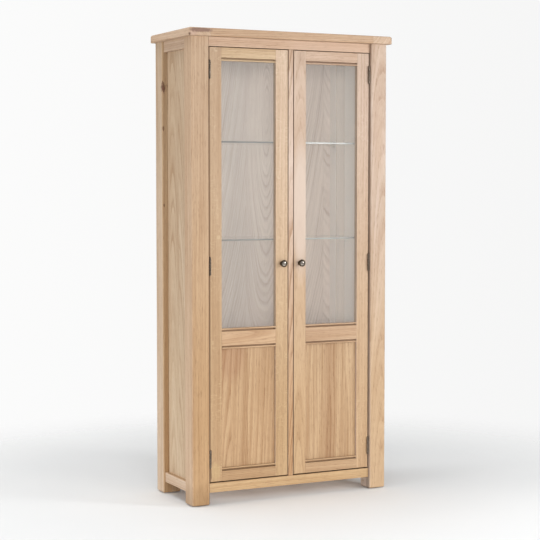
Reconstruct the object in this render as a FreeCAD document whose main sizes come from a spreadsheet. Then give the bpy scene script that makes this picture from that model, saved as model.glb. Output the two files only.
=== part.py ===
"""Glazed oak display cabinet: a framed carcass on four legs, with two doors, glazed above and panelled below.

Millimetres, +Z up, the front towards -Y. The origin is on the floor, under the middle of the top board.
Every piece is a solid of its own, written to parts/NODE.step.
"""
import FreeCAD
import Part
import os

SIZES = {
    # Whole cabinet and its top board
    "overall_height": 1900,
    "body_width": 888,
    "body_depth": 375,
    "top_thickness": 32,
    "overhang_side": 17,
    "overhang_front": 20,
    "overhang_rear": 15,
    "top_edge_round": 9,
    "top_under_round": 2,
    "top_corner_round": 11,
    "tongue_thickness": 10,
    "tongue_length": 12,
    "tongue_stop": 26,
    # Legs and glides
    "leg_width": 76,
    "leg_round": 6,
    "foot_bevel": 3,
    "glide_thickness": 4,
    "glide_radius": 24,
    "glide_peg_radius": 2.5,
    "glide_peg_length": 16,
    "leg_hole_radius": 3,
    "leg_hole_depth": 14,
    "leg_hole_height": 27,
    "leg_hole_setback": 50,
    # Joints in the wood
    "tenon_length": 22,
    "tenon_thickness": 9,
    "tenon_shoulder": 7,
    "grooved_shoulder": 10,
    "stub_tenon_length": 10,
    "joint_clearance": 0.1,
    "end_gap": 0.8,
    "arris_round": 1.2,
    # Front frame
    "door_recess": 11,
    "frieze_height": 37,
    "front_rail_height": 39,
    "front_rail_lift": 50,
    "mullion_width": 22,
    "stop_clearance": 0.5,
    # Side frames
    "side_rail_recess": 7,
    "side_rail_thickness": 32,
    "side_top_rail_height": 43,
    "side_bottom_rail_height": 40,
    "side_panel_recess": 23,
    "side_panel_thickness": 9,
    "panel_tongue": 8,
    # Back
    "rear_rail_recess": 4,
    "rear_rail_thickness": 24,
    "rear_top_rail_height": 60,
    "rear_bottom_rail_height": 60,
    "back_panel_inset": 14,
    "back_panel_thickness": 8,
    # Boards and shelves
    "board_thickness": 18,
    "bottom_board_top": 95,
    "board_clearance": 0.3,
    "fixed_shelf_top": 673,
    "lower_shelf_top": 370,
    "lower_shelf_setback": 20,
    "glass_shelf_thickness": 6,
    "lower_glass_shelf_base": 1059,
    "upper_glass_shelf_base": 1453,
    "glass_shelf_setback": 12,
    "shelf_end_clearance": 2.5,
    "shelf_back_clearance": 3,
    "glass_arris": 0.8,
    "batten_size": 20,
    # Shelf supports
    "peg_radius": 2.5,
    "peg_length": 9,
    "support_thickness": 1.5,
    "support_reach": 11,
    "support_width": 14,
    "support_drop": 11,
    "support_setback": 18,
    # Doors
    "door_thickness": 22,
    "hinge_gap": 3,
    "meeting_gap": 3,
    "door_gap_top": 3,
    "door_gap_bottom": 4.5,
    "stile_width": 55,
    "door_top_rail_height": 52.5,
    "door_mid_rail_height": 82.5,
    "door_mid_rail_base": 627,
    "door_bottom_rail_height": 53,
    "door_arris": 1,
    "bead_width": 6,
    "bead_round": 2.4,
    "quirk_width": 6.5,
    "quirk_depth": 9,
    "quirk_round": 2.5,
    "sight_depth": 12,
    "door_panel_thickness": 6,
    "glass_thickness": 4,
    "rebate_width": 8,
    "glass_edge_gap": 1.5,
    "bead_seat_gap": 0.2,
    # Butt hinges
    "hinge_length": 70,
    "hinge_top_distance": 88,
    "hinge_base_distance": 93,
    "knuckle_radius": 4.5,
    "knuckle_clearance": 0.3,
    "knuckle_gap": 0.4,
    "leaf_thickness": 1.5,
    "leaf_reach": 18,
    "leg_gain": 1,
    "stile_gain": 0.8,
    "hinge_pin_radius": 1.9,
    "pin_clearance": 0.05,
    "pin_head_radius": 3.4,
    "pin_head_height": 1.6,
    # Screws
    "screw_radius": 1.5,
    "screw_head_radius": 3,
    "screw_length": 14,
    "screw_point": 4,
    "screw_point_radius": 0.4,
    "screw_clearance": 0.05,
    "screw_spacing": 24,
    "block_screw_radius": 2,
    "block_screw_head_radius": 4,
    "block_screw_head_height": 2.5,
    "block_screw_length": 30,
    # Knobs
    "knob_height": 965,
    "knob_projection": 28,
    "knob_head_radius": 15,
    "knob_head_thickness": 7,
    "knob_head_round": 3,
    "knob_dome_height": 3,
    "knob_dome_radius": 9,
    "knob_ring_radius": 11.4,
    "knob_ring_depth": 1.5,
    "knob_neck_length": 8,
    "knob_neck_radius": 4.5,
    "knob_shoulder_radius": 8,
    "knob_foot_radius": 6.5,
    "knob_rose_radius": 9.5,
    "knob_rose_thickness": 3,
    "knob_rose_round": 1.4,
    "knob_screw_radius": 2,
    "knob_screw_reach": 12,
    "knob_screw_head_radius": 4,
    "knob_screw_head_height": 2.2,
    # Magnetic catches and top fixings
    "catch_width": 16,
    "catch_depth": 13,
    "catch_drop": 28,
    "catch_lap": 16,
    "catch_round": 1.5,
    "catch_screw_inset": 5,
    "strike_width": 14,
    "strike_height": 22,
    "strike_drop": 14,
    "strike_proud": 0.3,
    "block_size": 20,
    "block_length": 60,
    "block_offset": 200,
    "block_screw_inset": 15,
}

LEFT, RIGHT = -1, 1
DIRECTIONS = {
    "+X": FreeCAD.Rotation(FreeCAD.Vector(0, 1, 0), 90),
    "-X": FreeCAD.Rotation(FreeCAD.Vector(0, 1, 0), -90),
    "+Y": FreeCAD.Rotation(FreeCAD.Vector(1, 0, 0), -90),
    "-Y": FreeCAD.Rotation(FreeCAD.Vector(1, 0, 0), 90),
    "+Z": FreeCAD.Rotation(),
    "-Z": FreeCAD.Rotation(FreeCAD.Vector(1, 0, 0), 180),
}


class Size:
    """A length with the sheet expression that works it out, so that sums made here stay bound to the sheet."""

    def __init__(self, number, text=None):
        self.number = float(number)
        self.text = text or repr(number)

    def _join(self, other, sign, number):
        other = other if isinstance(other, Size) else Size(other)
        return Size(number(self.number, other.number), f"({self.text} {sign} {other.text})")

    def __add__(self, other):
        return self._join(other, "+", lambda a, b: a + b)

    def __sub__(self, other):
        return self._join(other, "-", lambda a, b: a - b)

    def __mul__(self, factor):
        return self._join(factor, "*", lambda a, b: a * b)

    def __truediv__(self, factor):
        return self._join(factor, "/", lambda a, b: a / b)

    def __neg__(self):
        return Size(-self.number, f"(0 - {self.text})")


ZERO = Size(0, "0")
doc = FreeCAD.newDocument("display_cabinet")
sheet = doc.addObject("Spreadsheet::Sheet", "Sizes")
for row, (alias, number) in enumerate(SIZES.items(), start=1):
    sheet.set(f"A{row}", alias)
    sheet.set(f"B{row}", str(number))
    sheet.setAlias(f"B{row}", alias)
doc.recompute()
nodes = {}


def size(alias):
    """The sheet's value of that name."""
    return Size(sheet.get(alias), f"Sizes.{alias}")


def bind(target, name, length):
    """Bind one property of an object to a length's expression."""
    target.setExpression(name, length.text)


def place(target, x, y, z):
    """Bind an object's position."""
    for axis, length in zip("xyz", (x, y, z)):
        bind(target, f".Placement.Base.{axis}", length)


def node(label, piece):
    """Name a finished sub-part."""
    piece.Label = label
    nodes[label] = piece
    return piece


def body(name):
    """A new, empty body."""
    return doc.addObject("PartDesign::Body", name)


def box(owner, x, y, z, cut=False):
    """Add a block to a body, or cut one out of it. Each of x, y and z is a (low, high) pair."""
    kind = "SubtractiveBox" if cut else "AdditiveBox"
    made = owner.newObject(f"PartDesign::{kind}", "Cut" if cut else "Block")
    for name, (low, high) in zip(("Length", "Width", "Height"), (x, y, z)):
        bind(made, name, high - low)
    place(made, x[0], y[0], z[0])
    return made


def rod(owner, start, direction, radius, length, cut=False, end_radius=None):
    """Add or cut a cylinder, or a cone where end_radius is given, from a start point along a direction."""
    kind = ("Subtractive" if cut else "Additive") + ("Cylinder" if end_radius is None else "Cone")
    made = owner.newObject(f"PartDesign::{kind}", "Hole" if cut else "Rod")
    made.Placement.Rotation = DIRECTIONS[direction]
    bind(made, "Height", length)
    if end_radius is None:
        bind(made, "Radius", radius)
    else:
        bind(made, "Radius1", radius)
        bind(made, "Radius2", end_radius)
    place(made, *start)
    return made


def edges_at(shape, x=None, y=None, z=None, along=None, skip=None):
    """Names of the edges whose middle has the given coordinates; along keeps straight edges of one axis."""
    wanted = {axis: [s.number for s in spots] for axis, spots in zip("xyz", (x, y, z)) if spots}
    found = []
    for index, edge in enumerate(shape.Edges, start=1):
        middle = edge.CenterOfMass
        if any(all(abs(getattr(middle, a) - spot) > 1e-4 for spot in spots) for a, spots in wanted.items()):
            continue
        if skip and any(abs(getattr(middle, a) - spot.number) < 1e-4 for a, spot in skip.items()):
            continue
        if along:
            straight = isinstance(edge.Curve, Part.Line)
            if not straight or abs(getattr(edge.tangentAt(edge.FirstParameter), along)) < 0.999:
                continue
        found.append(f"Edge{index}")
    return found


def soften(owner, length, feature="Fillet", **where):
    """Round or bevel the edges of a body that edges_at finds."""
    doc.recompute()
    base = owner.Tip
    names = edges_at(base.Shape, **where)
    if not names:
        raise ValueError(f"{owner.Name} has no edge to soften at {where}")
    made = owner.newObject(f"PartDesign::{feature}", "Softened")
    made.Base = (base, names)
    bind(made, "Radius" if feature == "Fillet" else "Size", length)
    return made


def copies(label, pattern, spots):
    """One sub-part of several identical pieces; each spot is (x, y, z, rotation)."""
    links = []
    for x, y, z, rotation in spots:
        link = doc.addObject("App::Link", f"{label}_copy")
        link.LinkedObject = pattern
        link.LinkTransform = True
        link.Placement = FreeCAD.Placement(FreeCAD.Vector(), rotation)
        place(link, x, y, z)
        links.append(link)
    return group(label, links)


def group(label, pieces):
    """One sub-part made of several separate solids."""
    made = doc.addObject("Part::Compound", label)
    made.Links = pieces
    return node(label, made)


def middle(low, high):
    """Half way between two lengths."""
    return (low + high) / 2


def around(centre, width):
    """A (low, high) pair of that width about a centre."""
    return (centre - width / 2, centre + width / 2)


def wider(pair, margin):
    """A (low, high) pair with a margin added at both ends."""
    return (pair[0] - margin, pair[1] + margin)


def sided(side, low, high):
    """A pair of distances from the middle plane, as X on one side."""
    return (low, high) if side > 0 else (-high, -low)


def across(side, near, far):
    """A pair of distances from a front leg's inner face into the doorway, as X on one side."""
    return sided(side, INNER - far, INNER - near)


def sideways(side, length):
    """One distance from the middle plane, as X on one side."""
    return length if side > 0 else -length


# Planes that the sub-assemblies share
LEG = size("leg_width")
HALF_WIDTH = size("body_width") / 2
INNER = HALF_WIDTH - LEG
TOP_FRONT = -(size("body_depth") + size("overhang_front") + size("overhang_rear")) / 2
TOP_REAR = -TOP_FRONT
LEG_FRONT = TOP_FRONT + size("overhang_front")
LEG_REAR = TOP_REAR - size("overhang_rear")
LEG_TOP = size("overall_height") - size("top_thickness")
LEG_FOOT = size("glide_thickness")
DOOR_FRONT = LEG_FRONT + size("door_recess")
DOOR_BACK = DOOR_FRONT + size("door_thickness")
RAIL_BACK = DOOR_BACK + size("stop_clearance")
BACK_PANEL = (
    LEG_REAR - size("back_panel_inset") - size("back_panel_thickness"),
    LEG_REAR - size("back_panel_inset"),
)
REAR_RAIL = (
    LEG_REAR - size("rear_rail_recess") - size("rear_rail_thickness"),
    LEG_REAR - size("rear_rail_recess"),
)
FRIEZE = (LEG_TOP - size("frieze_height"), LEG_TOP)
FRONT_RAIL = (size("front_rail_lift"), size("front_rail_lift") + size("front_rail_height"))
SIDE_TOP = (LEG_TOP - size("side_top_rail_height"), LEG_TOP)
SIDE_BOTTOM = (size("front_rail_lift"), size("front_rail_lift") + size("side_bottom_rail_height"))
REAR_TOP = (LEG_TOP - size("rear_top_rail_height"), LEG_TOP)
REAR_BOTTOM = (size("front_rail_lift"), size("front_rail_lift") + size("rear_bottom_rail_height"))
SIDE_RAIL_X = (
    HALF_WIDTH - size("side_rail_recess") - size("side_rail_thickness"),
    HALF_WIDTH - size("side_rail_recess"),
)
SIDE_PANEL_X = (
    HALF_WIDTH - size("side_panel_recess") - size("side_panel_thickness"),
    HALF_WIDTH - size("side_panel_recess"),
)
SIDE_GAP = (LEG_FRONT + LEG, LEG_REAR - LEG)
CLEARANCE = size("joint_clearance")
END_GAP = size("end_gap")
TENON = size("tenon_length")
SHOULDER = size("tenon_shoulder")
GROOVED_SHOULDER = size("grooved_shoulder")
TONGUE = size("panel_tongue")
MULLION_HALF = size("mullion_width") / 2
BOARD = size("board_thickness")
DOOR_Z = (FRONT_RAIL[1] + size("door_gap_bottom"), FRIEZE[0] - size("door_gap_top"))
DOOR_FAR = INNER - MULLION_HALF - size("meeting_gap")
HINGE_HEIGHTS = (
    DOOR_Z[0] + size("hinge_base_distance"),
    middle(*DOOR_Z),
    DOOR_Z[1] - size("hinge_top_distance"),
)
SHELF_BASES = (
    size("lower_shelf_top") - BOARD,
    size("lower_glass_shelf_base"),
    size("upper_glass_shelf_base"),
)
SUPPORT_Y = (SIDE_GAP[0] - size("support_setback"), SIDE_GAP[1] + size("support_setback"))


# The height of each rail's tenons: a deeper shoulder on the edge that is grooved for a panel
TENON_Z = {
    FRIEZE: (FRIEZE[0] + SHOULDER, FRIEZE[1] - SHOULDER),
    FRONT_RAIL: (FRONT_RAIL[0] + SHOULDER, FRONT_RAIL[1] - SHOULDER),
    SIDE_TOP: (SIDE_TOP[0] + GROOVED_SHOULDER, SIDE_TOP[1] - SHOULDER),
    SIDE_BOTTOM: (SIDE_BOTTOM[0] + SHOULDER, SIDE_BOTTOM[1] - GROOVED_SHOULDER),
    REAR_TOP: (REAR_TOP[0] + GROOVED_SHOULDER, REAR_TOP[1] - SHOULDER),
    REAR_BOTTOM: (REAR_BOTTOM[0] + SHOULDER, REAR_BOTTOM[1] - GROOVED_SHOULDER),
}


def cheeks(pair):
    """The two cheeks of a tenon, centred in the thickness of its board."""
    return around(middle(*pair), size("tenon_thickness"))


def leaf_screw_spots():
    """Heights of the screws in all three hinges of a door."""
    return [centre + size("screw_spacing") * step for centre in HINGE_HEIGHTS for step in (-1, 0, 1)]


def leaf_screw_depth():
    """How far behind the doors' front the hinge screws stand."""
    return (leaf_plate_front() + size("leaf_reach")) / 2


def leaf_plate_front():
    """How far behind the doors' front the flat part of a leaf begins."""
    return size("knuckle_clearance")


# Top board


def make_top():
    """The glued top panel, tongued into a cleat across each end."""
    z = (LEG_TOP, size("overall_height"))
    y = (TOP_FRONT, TOP_REAR)
    tongue_z = around(middle(*z), size("tongue_thickness"))
    tongue_y = (y[0] + size("tongue_stop"), y[1] - size("tongue_stop"))
    panel = body("top_panel")
    box(panel, (-INNER, INNER), y, z)
    soften(panel, size("top_edge_round"), y=y, z=[z[1]], along="x")
    soften(panel, size("top_under_round"), y=y, z=[z[0]], along="x")
    for side in (LEFT, RIGHT):
        box(panel, sided(side, INNER, INNER + size("tongue_length")), tongue_y, tongue_z)
    block_screw_holes(panel, "+Z", (-INNER, INNER))
    node("top_panel", panel)
    for side, label in ((LEFT, "left_top_cleat"), (RIGHT, "right_top_cleat")):
        cleat = body(label)
        end = HALF_WIDTH + size("overhang_side")
        box(cleat, sided(side, INNER, end), y, z)
        soften(cleat, size("top_corner_round"), x=[sideways(side, end)], y=y, along="z")
        joint = sideways(side, INNER)
        soften(cleat, size("top_edge_round"), z=[z[1]], skip={"x": joint})
        soften(cleat, size("top_under_round"), z=[z[0]], skip={"x": joint})
        slot_x = sided(side, INNER, INNER + size("tongue_length") + END_GAP)
        box(cleat, slot_x, wider(tongue_y, END_GAP), wider(tongue_z, CLEARANCE), cut=True)
        block_screw_holes(cleat, "+Z", sided(side, INNER, end))
        node(label, cleat)


# Legs


def leg_blank(label, side, y):
    """A square leg with rounded arrises, a bevelled foot and the hole for its glide."""
    leg = body(label)
    x = sided(side, INNER, HALF_WIDTH)
    box(leg, x, y, (LEG_FOOT, LEG_TOP))
    soften(leg, size("leg_round"), x=x, y=y, along="z")
    soften(leg, size("foot_bevel"), feature="Chamfer", z=[LEG_FOOT])
    peg_radius = size("glide_peg_radius") + CLEARANCE
    peg_depth = LEG_FOOT + size("glide_peg_length") + END_GAP
    rod(leg, (middle(*x), middle(*y), ZERO), "+Z", peg_radius, peg_depth, cut=True)
    return leg


def side_joints(leg, side, face, inwards):
    """Cut the side rails' mortises and the side panel's groove into the face towards the other leg."""
    depth = TENON + END_GAP
    y = (face - depth, face) if inwards < 0 else (face, face + depth)
    groove = TONGUE + END_GAP
    groove_y = (face - groove, face) if inwards < 0 else (face, face + groove)
    mortise_x = wider(cheeks(SIDE_RAIL_X), CLEARANCE)
    for z in (SIDE_BOTTOM, SIDE_TOP):
        box(leg, sided(side, *mortise_x), y, wider(TENON_Z[z], CLEARANCE), cut=True)
    panel_x = wider(SIDE_PANEL_X, CLEARANCE)
    panel_z = (SIDE_BOTTOM[1] - groove, SIDE_TOP[0] + groove)
    box(leg, sided(side, *panel_x), groove_y, panel_z, cut=True)


def cross_joint(leg, side, y, z):
    """Cut the mortise of a front or rear rail into a leg's inner face."""
    x = sided(side, INNER, INNER + TENON + END_GAP)
    box(leg, x, wider(cheeks(y), CLEARANCE), wider(TENON_Z[z], CLEARANCE), cut=True)


def support_holes(leg, side, y):
    """Drill the holes of the shelf supports."""
    away = "+X" if side > 0 else "-X"
    for base in SHELF_BASES:
        z = base - size("support_drop") / 2
        radius = size("peg_radius") + CLEARANCE
        rod(leg, (sideways(side, INNER), y, z), away, radius, size("peg_length") + END_GAP, cut=True)


def make_front_leg(label, side):
    """A front leg: it carries the front rails and a door's hinges."""
    leg = leg_blank(label, side, (LEG_FRONT, SIDE_GAP[0]))
    side_joints(leg, side, SIDE_GAP[0], -1)
    cross_joint(leg, side, (DOOR_FRONT, RAIL_BACK), FRIEZE)
    cross_joint(leg, side, (DOOR_FRONT, RAIL_BACK), FRONT_RAIL)
    support_holes(leg, side, SUPPORT_Y[0])
    away = "+X" if side > 0 else "-X"
    gain_y = (DOOR_FRONT + hinge_web()[0] - CLEARANCE, DOOR_FRONT + size("leaf_reach") + CLEARANCE)
    for centre in HINGE_HEIGHTS:
        gain_z = wider(around(centre, size("hinge_length")), CLEARANCE)
        box(leg, sided(side, INNER, INNER + size("leg_gain")), gain_y, gain_z, cut=True)
    for z in leaf_screw_spots():
        pilot(leg, (sideways(side, INNER), DOOR_FRONT + leaf_screw_depth(), z), away)
    hole_spot = (sideways(side, INNER), LEG_FRONT + size("leg_hole_setback"), size("leg_hole_height"))
    rod(leg, hole_spot, away, size("leg_hole_radius"), size("leg_hole_depth"), cut=True)
    node(label, leg)


def make_rear_leg(label, side):
    """A rear leg: it carries the rear rails and the back panel."""
    leg = leg_blank(label, side, (SIDE_GAP[1], LEG_REAR))
    side_joints(leg, side, SIDE_GAP[1], 1)
    cross_joint(leg, side, REAR_RAIL, REAR_TOP)
    cross_joint(leg, side, REAR_RAIL, REAR_BOTTOM)
    support_holes(leg, side, SUPPORT_Y[1])
    groove_x = sided(side, INNER, INNER + TONGUE + END_GAP)
    groove_z = (REAR_BOTTOM[1] - TONGUE - END_GAP, REAR_TOP[0] + TONGUE + END_GAP)
    box(leg, groove_x, wider(BACK_PANEL, CLEARANCE), groove_z, cut=True)
    node(label, leg)


def make_glides():
    """The pads under the feet, each pressed in with its own peg."""
    pad = body("glide_pattern")
    rod(pad, (ZERO, ZERO, ZERO), "+Z", size("glide_radius"), LEG_FOOT)
    soften(pad, size("glide_thickness") / 4, z=[ZERO])
    rod(pad, (ZERO, ZERO, LEG_FOOT), "+Z", size("glide_peg_radius"), size("glide_peg_length"))
    x = INNER + LEG / 2
    upright = DIRECTIONS["+Z"]
    ys = (LEG_FRONT + LEG / 2, LEG_REAR - LEG / 2)
    spots = [(sideways(side, x), y, ZERO, upright) for side in (LEFT, RIGHT) for y in ys]
    copies("foot_glides", pad, spots)


# Rails, mullion and panels of the carcass


def add_cross_tenons(rail, y, z):
    """Tenons on both ends of a rail that runs along X between two legs."""
    for side in (LEFT, RIGHT):
        box(rail, sided(side, INNER, INNER + TENON), cheeks(y), TENON_Z[z])


def make_front_rails():
    """The frieze rail and the rail under the doors, both mortised for the mullion."""
    y = (DOOR_FRONT, RAIL_BACK)
    depth = size("stub_tenon_length") + END_GAP
    mortise_x = (-mullion_tenon_half() - CLEARANCE, mullion_tenon_half() + CLEARANCE)
    for label, z, edge, mortise_z in (
        ("frieze_rail", FRIEZE, FRIEZE[0], (FRIEZE[0], FRIEZE[0] + depth)),
        ("front_bottom_rail", FRONT_RAIL, FRONT_RAIL[1], (FRONT_RAIL[1] - depth, FRONT_RAIL[1])),
    ):
        rail = body(label)
        box(rail, (-INNER, INNER), y, z)
        soften(rail, size("arris_round"), y=[y[0]], z=[edge], along="x")
        if label == "front_bottom_rail":
            soften(rail, size("arris_round"), y=[y[0]], z=[z[0]], along="x")
        add_cross_tenons(rail, y, z)
        box(rail, mortise_x, wider(cheeks(y), CLEARANCE), mortise_z, cut=True)
        if label == "frieze_rail":
            block_screw_holes(rail, "-Y")
            for side in (LEFT, RIGHT):
                for x, screw_z in catch_screw_spots(side):
                    pilot(rail, (x, RAIL_BACK, screw_z), "-Y")
        node(label, rail)


def mullion_tenon_half():
    """Half the width of the mullion's stub tenons."""
    return MULLION_HALF - SHOULDER / 2


def make_mullion():
    """The narrow post between the doors, stub-tenoned at both ends."""
    y = (DOOR_FRONT, RAIL_BACK)
    x = (-MULLION_HALF, MULLION_HALF)
    stub = size("stub_tenon_length")
    post = body("centre_mullion")
    box(post, x, y, (FRONT_RAIL[1], FRIEZE[0]))
    soften(post, size("arris_round"), x=x, y=[y[0]], along="z")
    tenon_x = (-mullion_tenon_half(), mullion_tenon_half())
    box(post, tenon_x, cheeks(y), (FRONT_RAIL[1] - stub, FRONT_RAIL[1]))
    box(post, tenon_x, cheeks(y), (FRIEZE[0], FRIEZE[0] + stub))
    node("centre_mullion", post)


def make_side(side, word):
    """The two rails and the tall panel between a front and a rear leg."""
    groove = TONGUE + END_GAP
    panel_x = sided(side, *wider(SIDE_PANEL_X, CLEARANCE))
    top_groove = (SIDE_TOP[0], SIDE_TOP[0] + groove)
    bottom_groove = (SIDE_BOTTOM[1] - groove, SIDE_BOTTOM[1])
    rails = (
        (f"{word}_side_top_rail", SIDE_TOP, SIDE_TOP[0], top_groove),
        (f"{word}_side_bottom_rail", SIDE_BOTTOM, SIDE_BOTTOM[1], bottom_groove),
    )
    outer = sideways(side, SIDE_RAIL_X[1])
    for label, z, edge, groove_z in rails:
        rail = body(label)
        box(rail, sided(side, *SIDE_RAIL_X), SIDE_GAP, z)
        soften(rail, size("arris_round"), x=[outer], z=[edge], along="y")
        tenon_x = sided(side, *cheeks(SIDE_RAIL_X))
        box(rail, tenon_x, (SIDE_GAP[0] - TENON, SIDE_GAP[0]), TENON_Z[z])
        box(rail, tenon_x, (SIDE_GAP[1], SIDE_GAP[1] + TENON), TENON_Z[z])
        box(rail, panel_x, SIDE_GAP, groove_z, cut=True)
        if z is SIDE_TOP:
            block_screw_holes(rail, "-X" if side < 0 else "+X")
        node(label, rail)
    panel = body(f"{word}_side_panel")
    panel_z = (SIDE_BOTTOM[1] - TONGUE, SIDE_TOP[0] + TONGUE)
    box(panel, sided(side, *SIDE_PANEL_X), wider(SIDE_GAP, TONGUE), panel_z)
    node(f"{word}_side_panel", panel)


def make_back():
    """The rear rails and the back panel that they frame."""
    groove = TONGUE + END_GAP
    for label, z, groove_z in (
        ("rear_top_rail", REAR_TOP, (REAR_TOP[0], REAR_TOP[0] + groove)),
        ("rear_bottom_rail", REAR_BOTTOM, (REAR_BOTTOM[1] - groove, REAR_BOTTOM[1])),
    ):
        rail = body(label)
        box(rail, (-INNER, INNER), REAR_RAIL, z)
        edge = groove_z[0] if z is REAR_TOP else groove_z[1]
        soften(rail, size("arris_round"), y=REAR_RAIL, z=[edge], along="x")
        add_cross_tenons(rail, REAR_RAIL, z)
        box(rail, (-INNER, INNER), wider(BACK_PANEL, CLEARANCE), groove_z, cut=True)
        if z is REAR_TOP:
            block_screw_holes(rail, "+Y")
        node(label, rail)
    panel = body("back_panel")
    z = (REAR_BOTTOM[1] - TONGUE, REAR_TOP[0] + TONGUE)
    box(panel, (-INNER - TONGUE, INNER + TONGUE), BACK_PANEL, z)
    node("back_panel", panel)


# Boards and shelves


def make_notched_board(label, top, wall, rear):
    """A full-depth board let in round the four legs, as wide as the side wall and the rear wall allow."""
    gap = size("board_clearance")
    x_end = wall - gap
    y = (RAIL_BACK, rear - gap)
    z = (top - BOARD, top)
    board = body(label)
    box(board, (-x_end, x_end), y, z)
    soften(board, size("arris_round"), y=[y[0]], z=z, along="x")
    for side in (LEFT, RIGHT):
        for notch_y in ((y[0], SIDE_GAP[0] + gap), (SIDE_GAP[1] - gap, y[1])):
            box(board, sided(side, INNER - gap, x_end), notch_y, z, cut=True)
    node(label, board)


def make_shelves():
    """The loose shelves: one of wood in the cupboard part, two of glass behind the panes."""
    x_end = INNER - size("shelf_end_clearance")
    rear = BACK_PANEL[0] - size("shelf_back_clearance")
    shelf = body("lower_shelf")
    y = (RAIL_BACK + size("lower_shelf_setback"), rear)
    z = (SHELF_BASES[0], size("lower_shelf_top"))
    box(shelf, (-x_end, x_end), y, z)
    soften(shelf, size("arris_round"), y=[y[0]], z=z, along="x")
    node("lower_shelf", shelf)
    for label, base in (("lower_glass_shelf", SHELF_BASES[1]), ("upper_glass_shelf", SHELF_BASES[2])):
        pane = body(label)
        y = (RAIL_BACK + size("glass_shelf_setback"), rear)
        z = (base, base + size("glass_shelf_thickness"))
        box(pane, (-x_end, x_end), y, z)
        soften(pane, size("glass_arris"), feature="Chamfer", y=[y[0]], z=z, along="x")
        node(label, pane)


def make_battens():
    """The strips on the side panels that carry the bottom board and the fixed shelf."""
    battens = []
    for side in (LEFT, RIGHT):
        for wall, shelf_top in ((SIDE_RAIL_X[0], "bottom_board_top"), (SIDE_PANEL_X[0], "fixed_shelf_top")):
            top = size(shelf_top) - BOARD
            batten = body("batten")
            inner, base = wall - size("batten_size"), top - size("batten_size")
            box(batten, sided(side, inner, wall), SIDE_GAP, (base, top))
            soften(batten, size("arris_round"), x=[sideways(side, inner)], z=[base], along="y")
            battens.append(batten)
    group("shelf_battens", battens)


def make_supports():
    """The pegged metal supports, four under each loose shelf."""
    support = body("support_pattern")
    drop = size("support_drop")
    thickness = size("support_thickness")
    y = around(ZERO, size("support_width"))
    box(support, (ZERO, thickness), y, (-drop, ZERO))
    box(support, (ZERO, size("support_reach")), y, (-thickness, ZERO))
    soften(support, size("support_width") / 4, x=[size("support_reach")], y=y, along="z")
    rod(support, (ZERO, ZERO, -drop / 2), "-X", size("peg_radius"), size("peg_length"))
    turned = FreeCAD.Rotation(FreeCAD.Vector(0, 0, 1), 180)
    spots = []
    for base in SHELF_BASES:
        for y in SUPPORT_Y:
            spots.append((-INNER, y, base, DIRECTIONS["+Z"]))
            spots.append((INNER, y, base, turned))
    copies("shelf_supports", support, spots)


# Hinges, in a frame of their own: X from the leg's inner face into the doorway, Y from the doors' front


def hinge_axis():
    """The pin's distance from the leg's inner face, and from the doors' front."""
    reach = size("knuckle_radius") + size("knuckle_clearance")
    return (reach, -reach)


def hinge_web():
    """How far behind the doors' front the web between a leg's leaf and its knuckles begins and ends."""
    axis_y = hinge_axis()[1]
    barrel = size("knuckle_radius")
    return (axis_y + barrel - size("hinge_pin_radius"), axis_y + barrel - size("knuckle_clearance"))


def knuckles():
    """The five knuckles of a hinge as (low, high) pairs, from the bottom."""
    pitch = (size("hinge_length") + size("knuckle_gap")) / 5
    base = -size("hinge_length") / 2
    return [(base + pitch * step, base + pitch * (step + 1) - size("knuckle_gap")) for step in range(5)]


def leaf_holes(leaf, face, direction):
    """Three countersunk holes through a leaf."""
    for step in (-1, 0, 1):
        countersink(leaf, (face, leaf_screw_depth(), size("screw_spacing") * step), direction)


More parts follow.
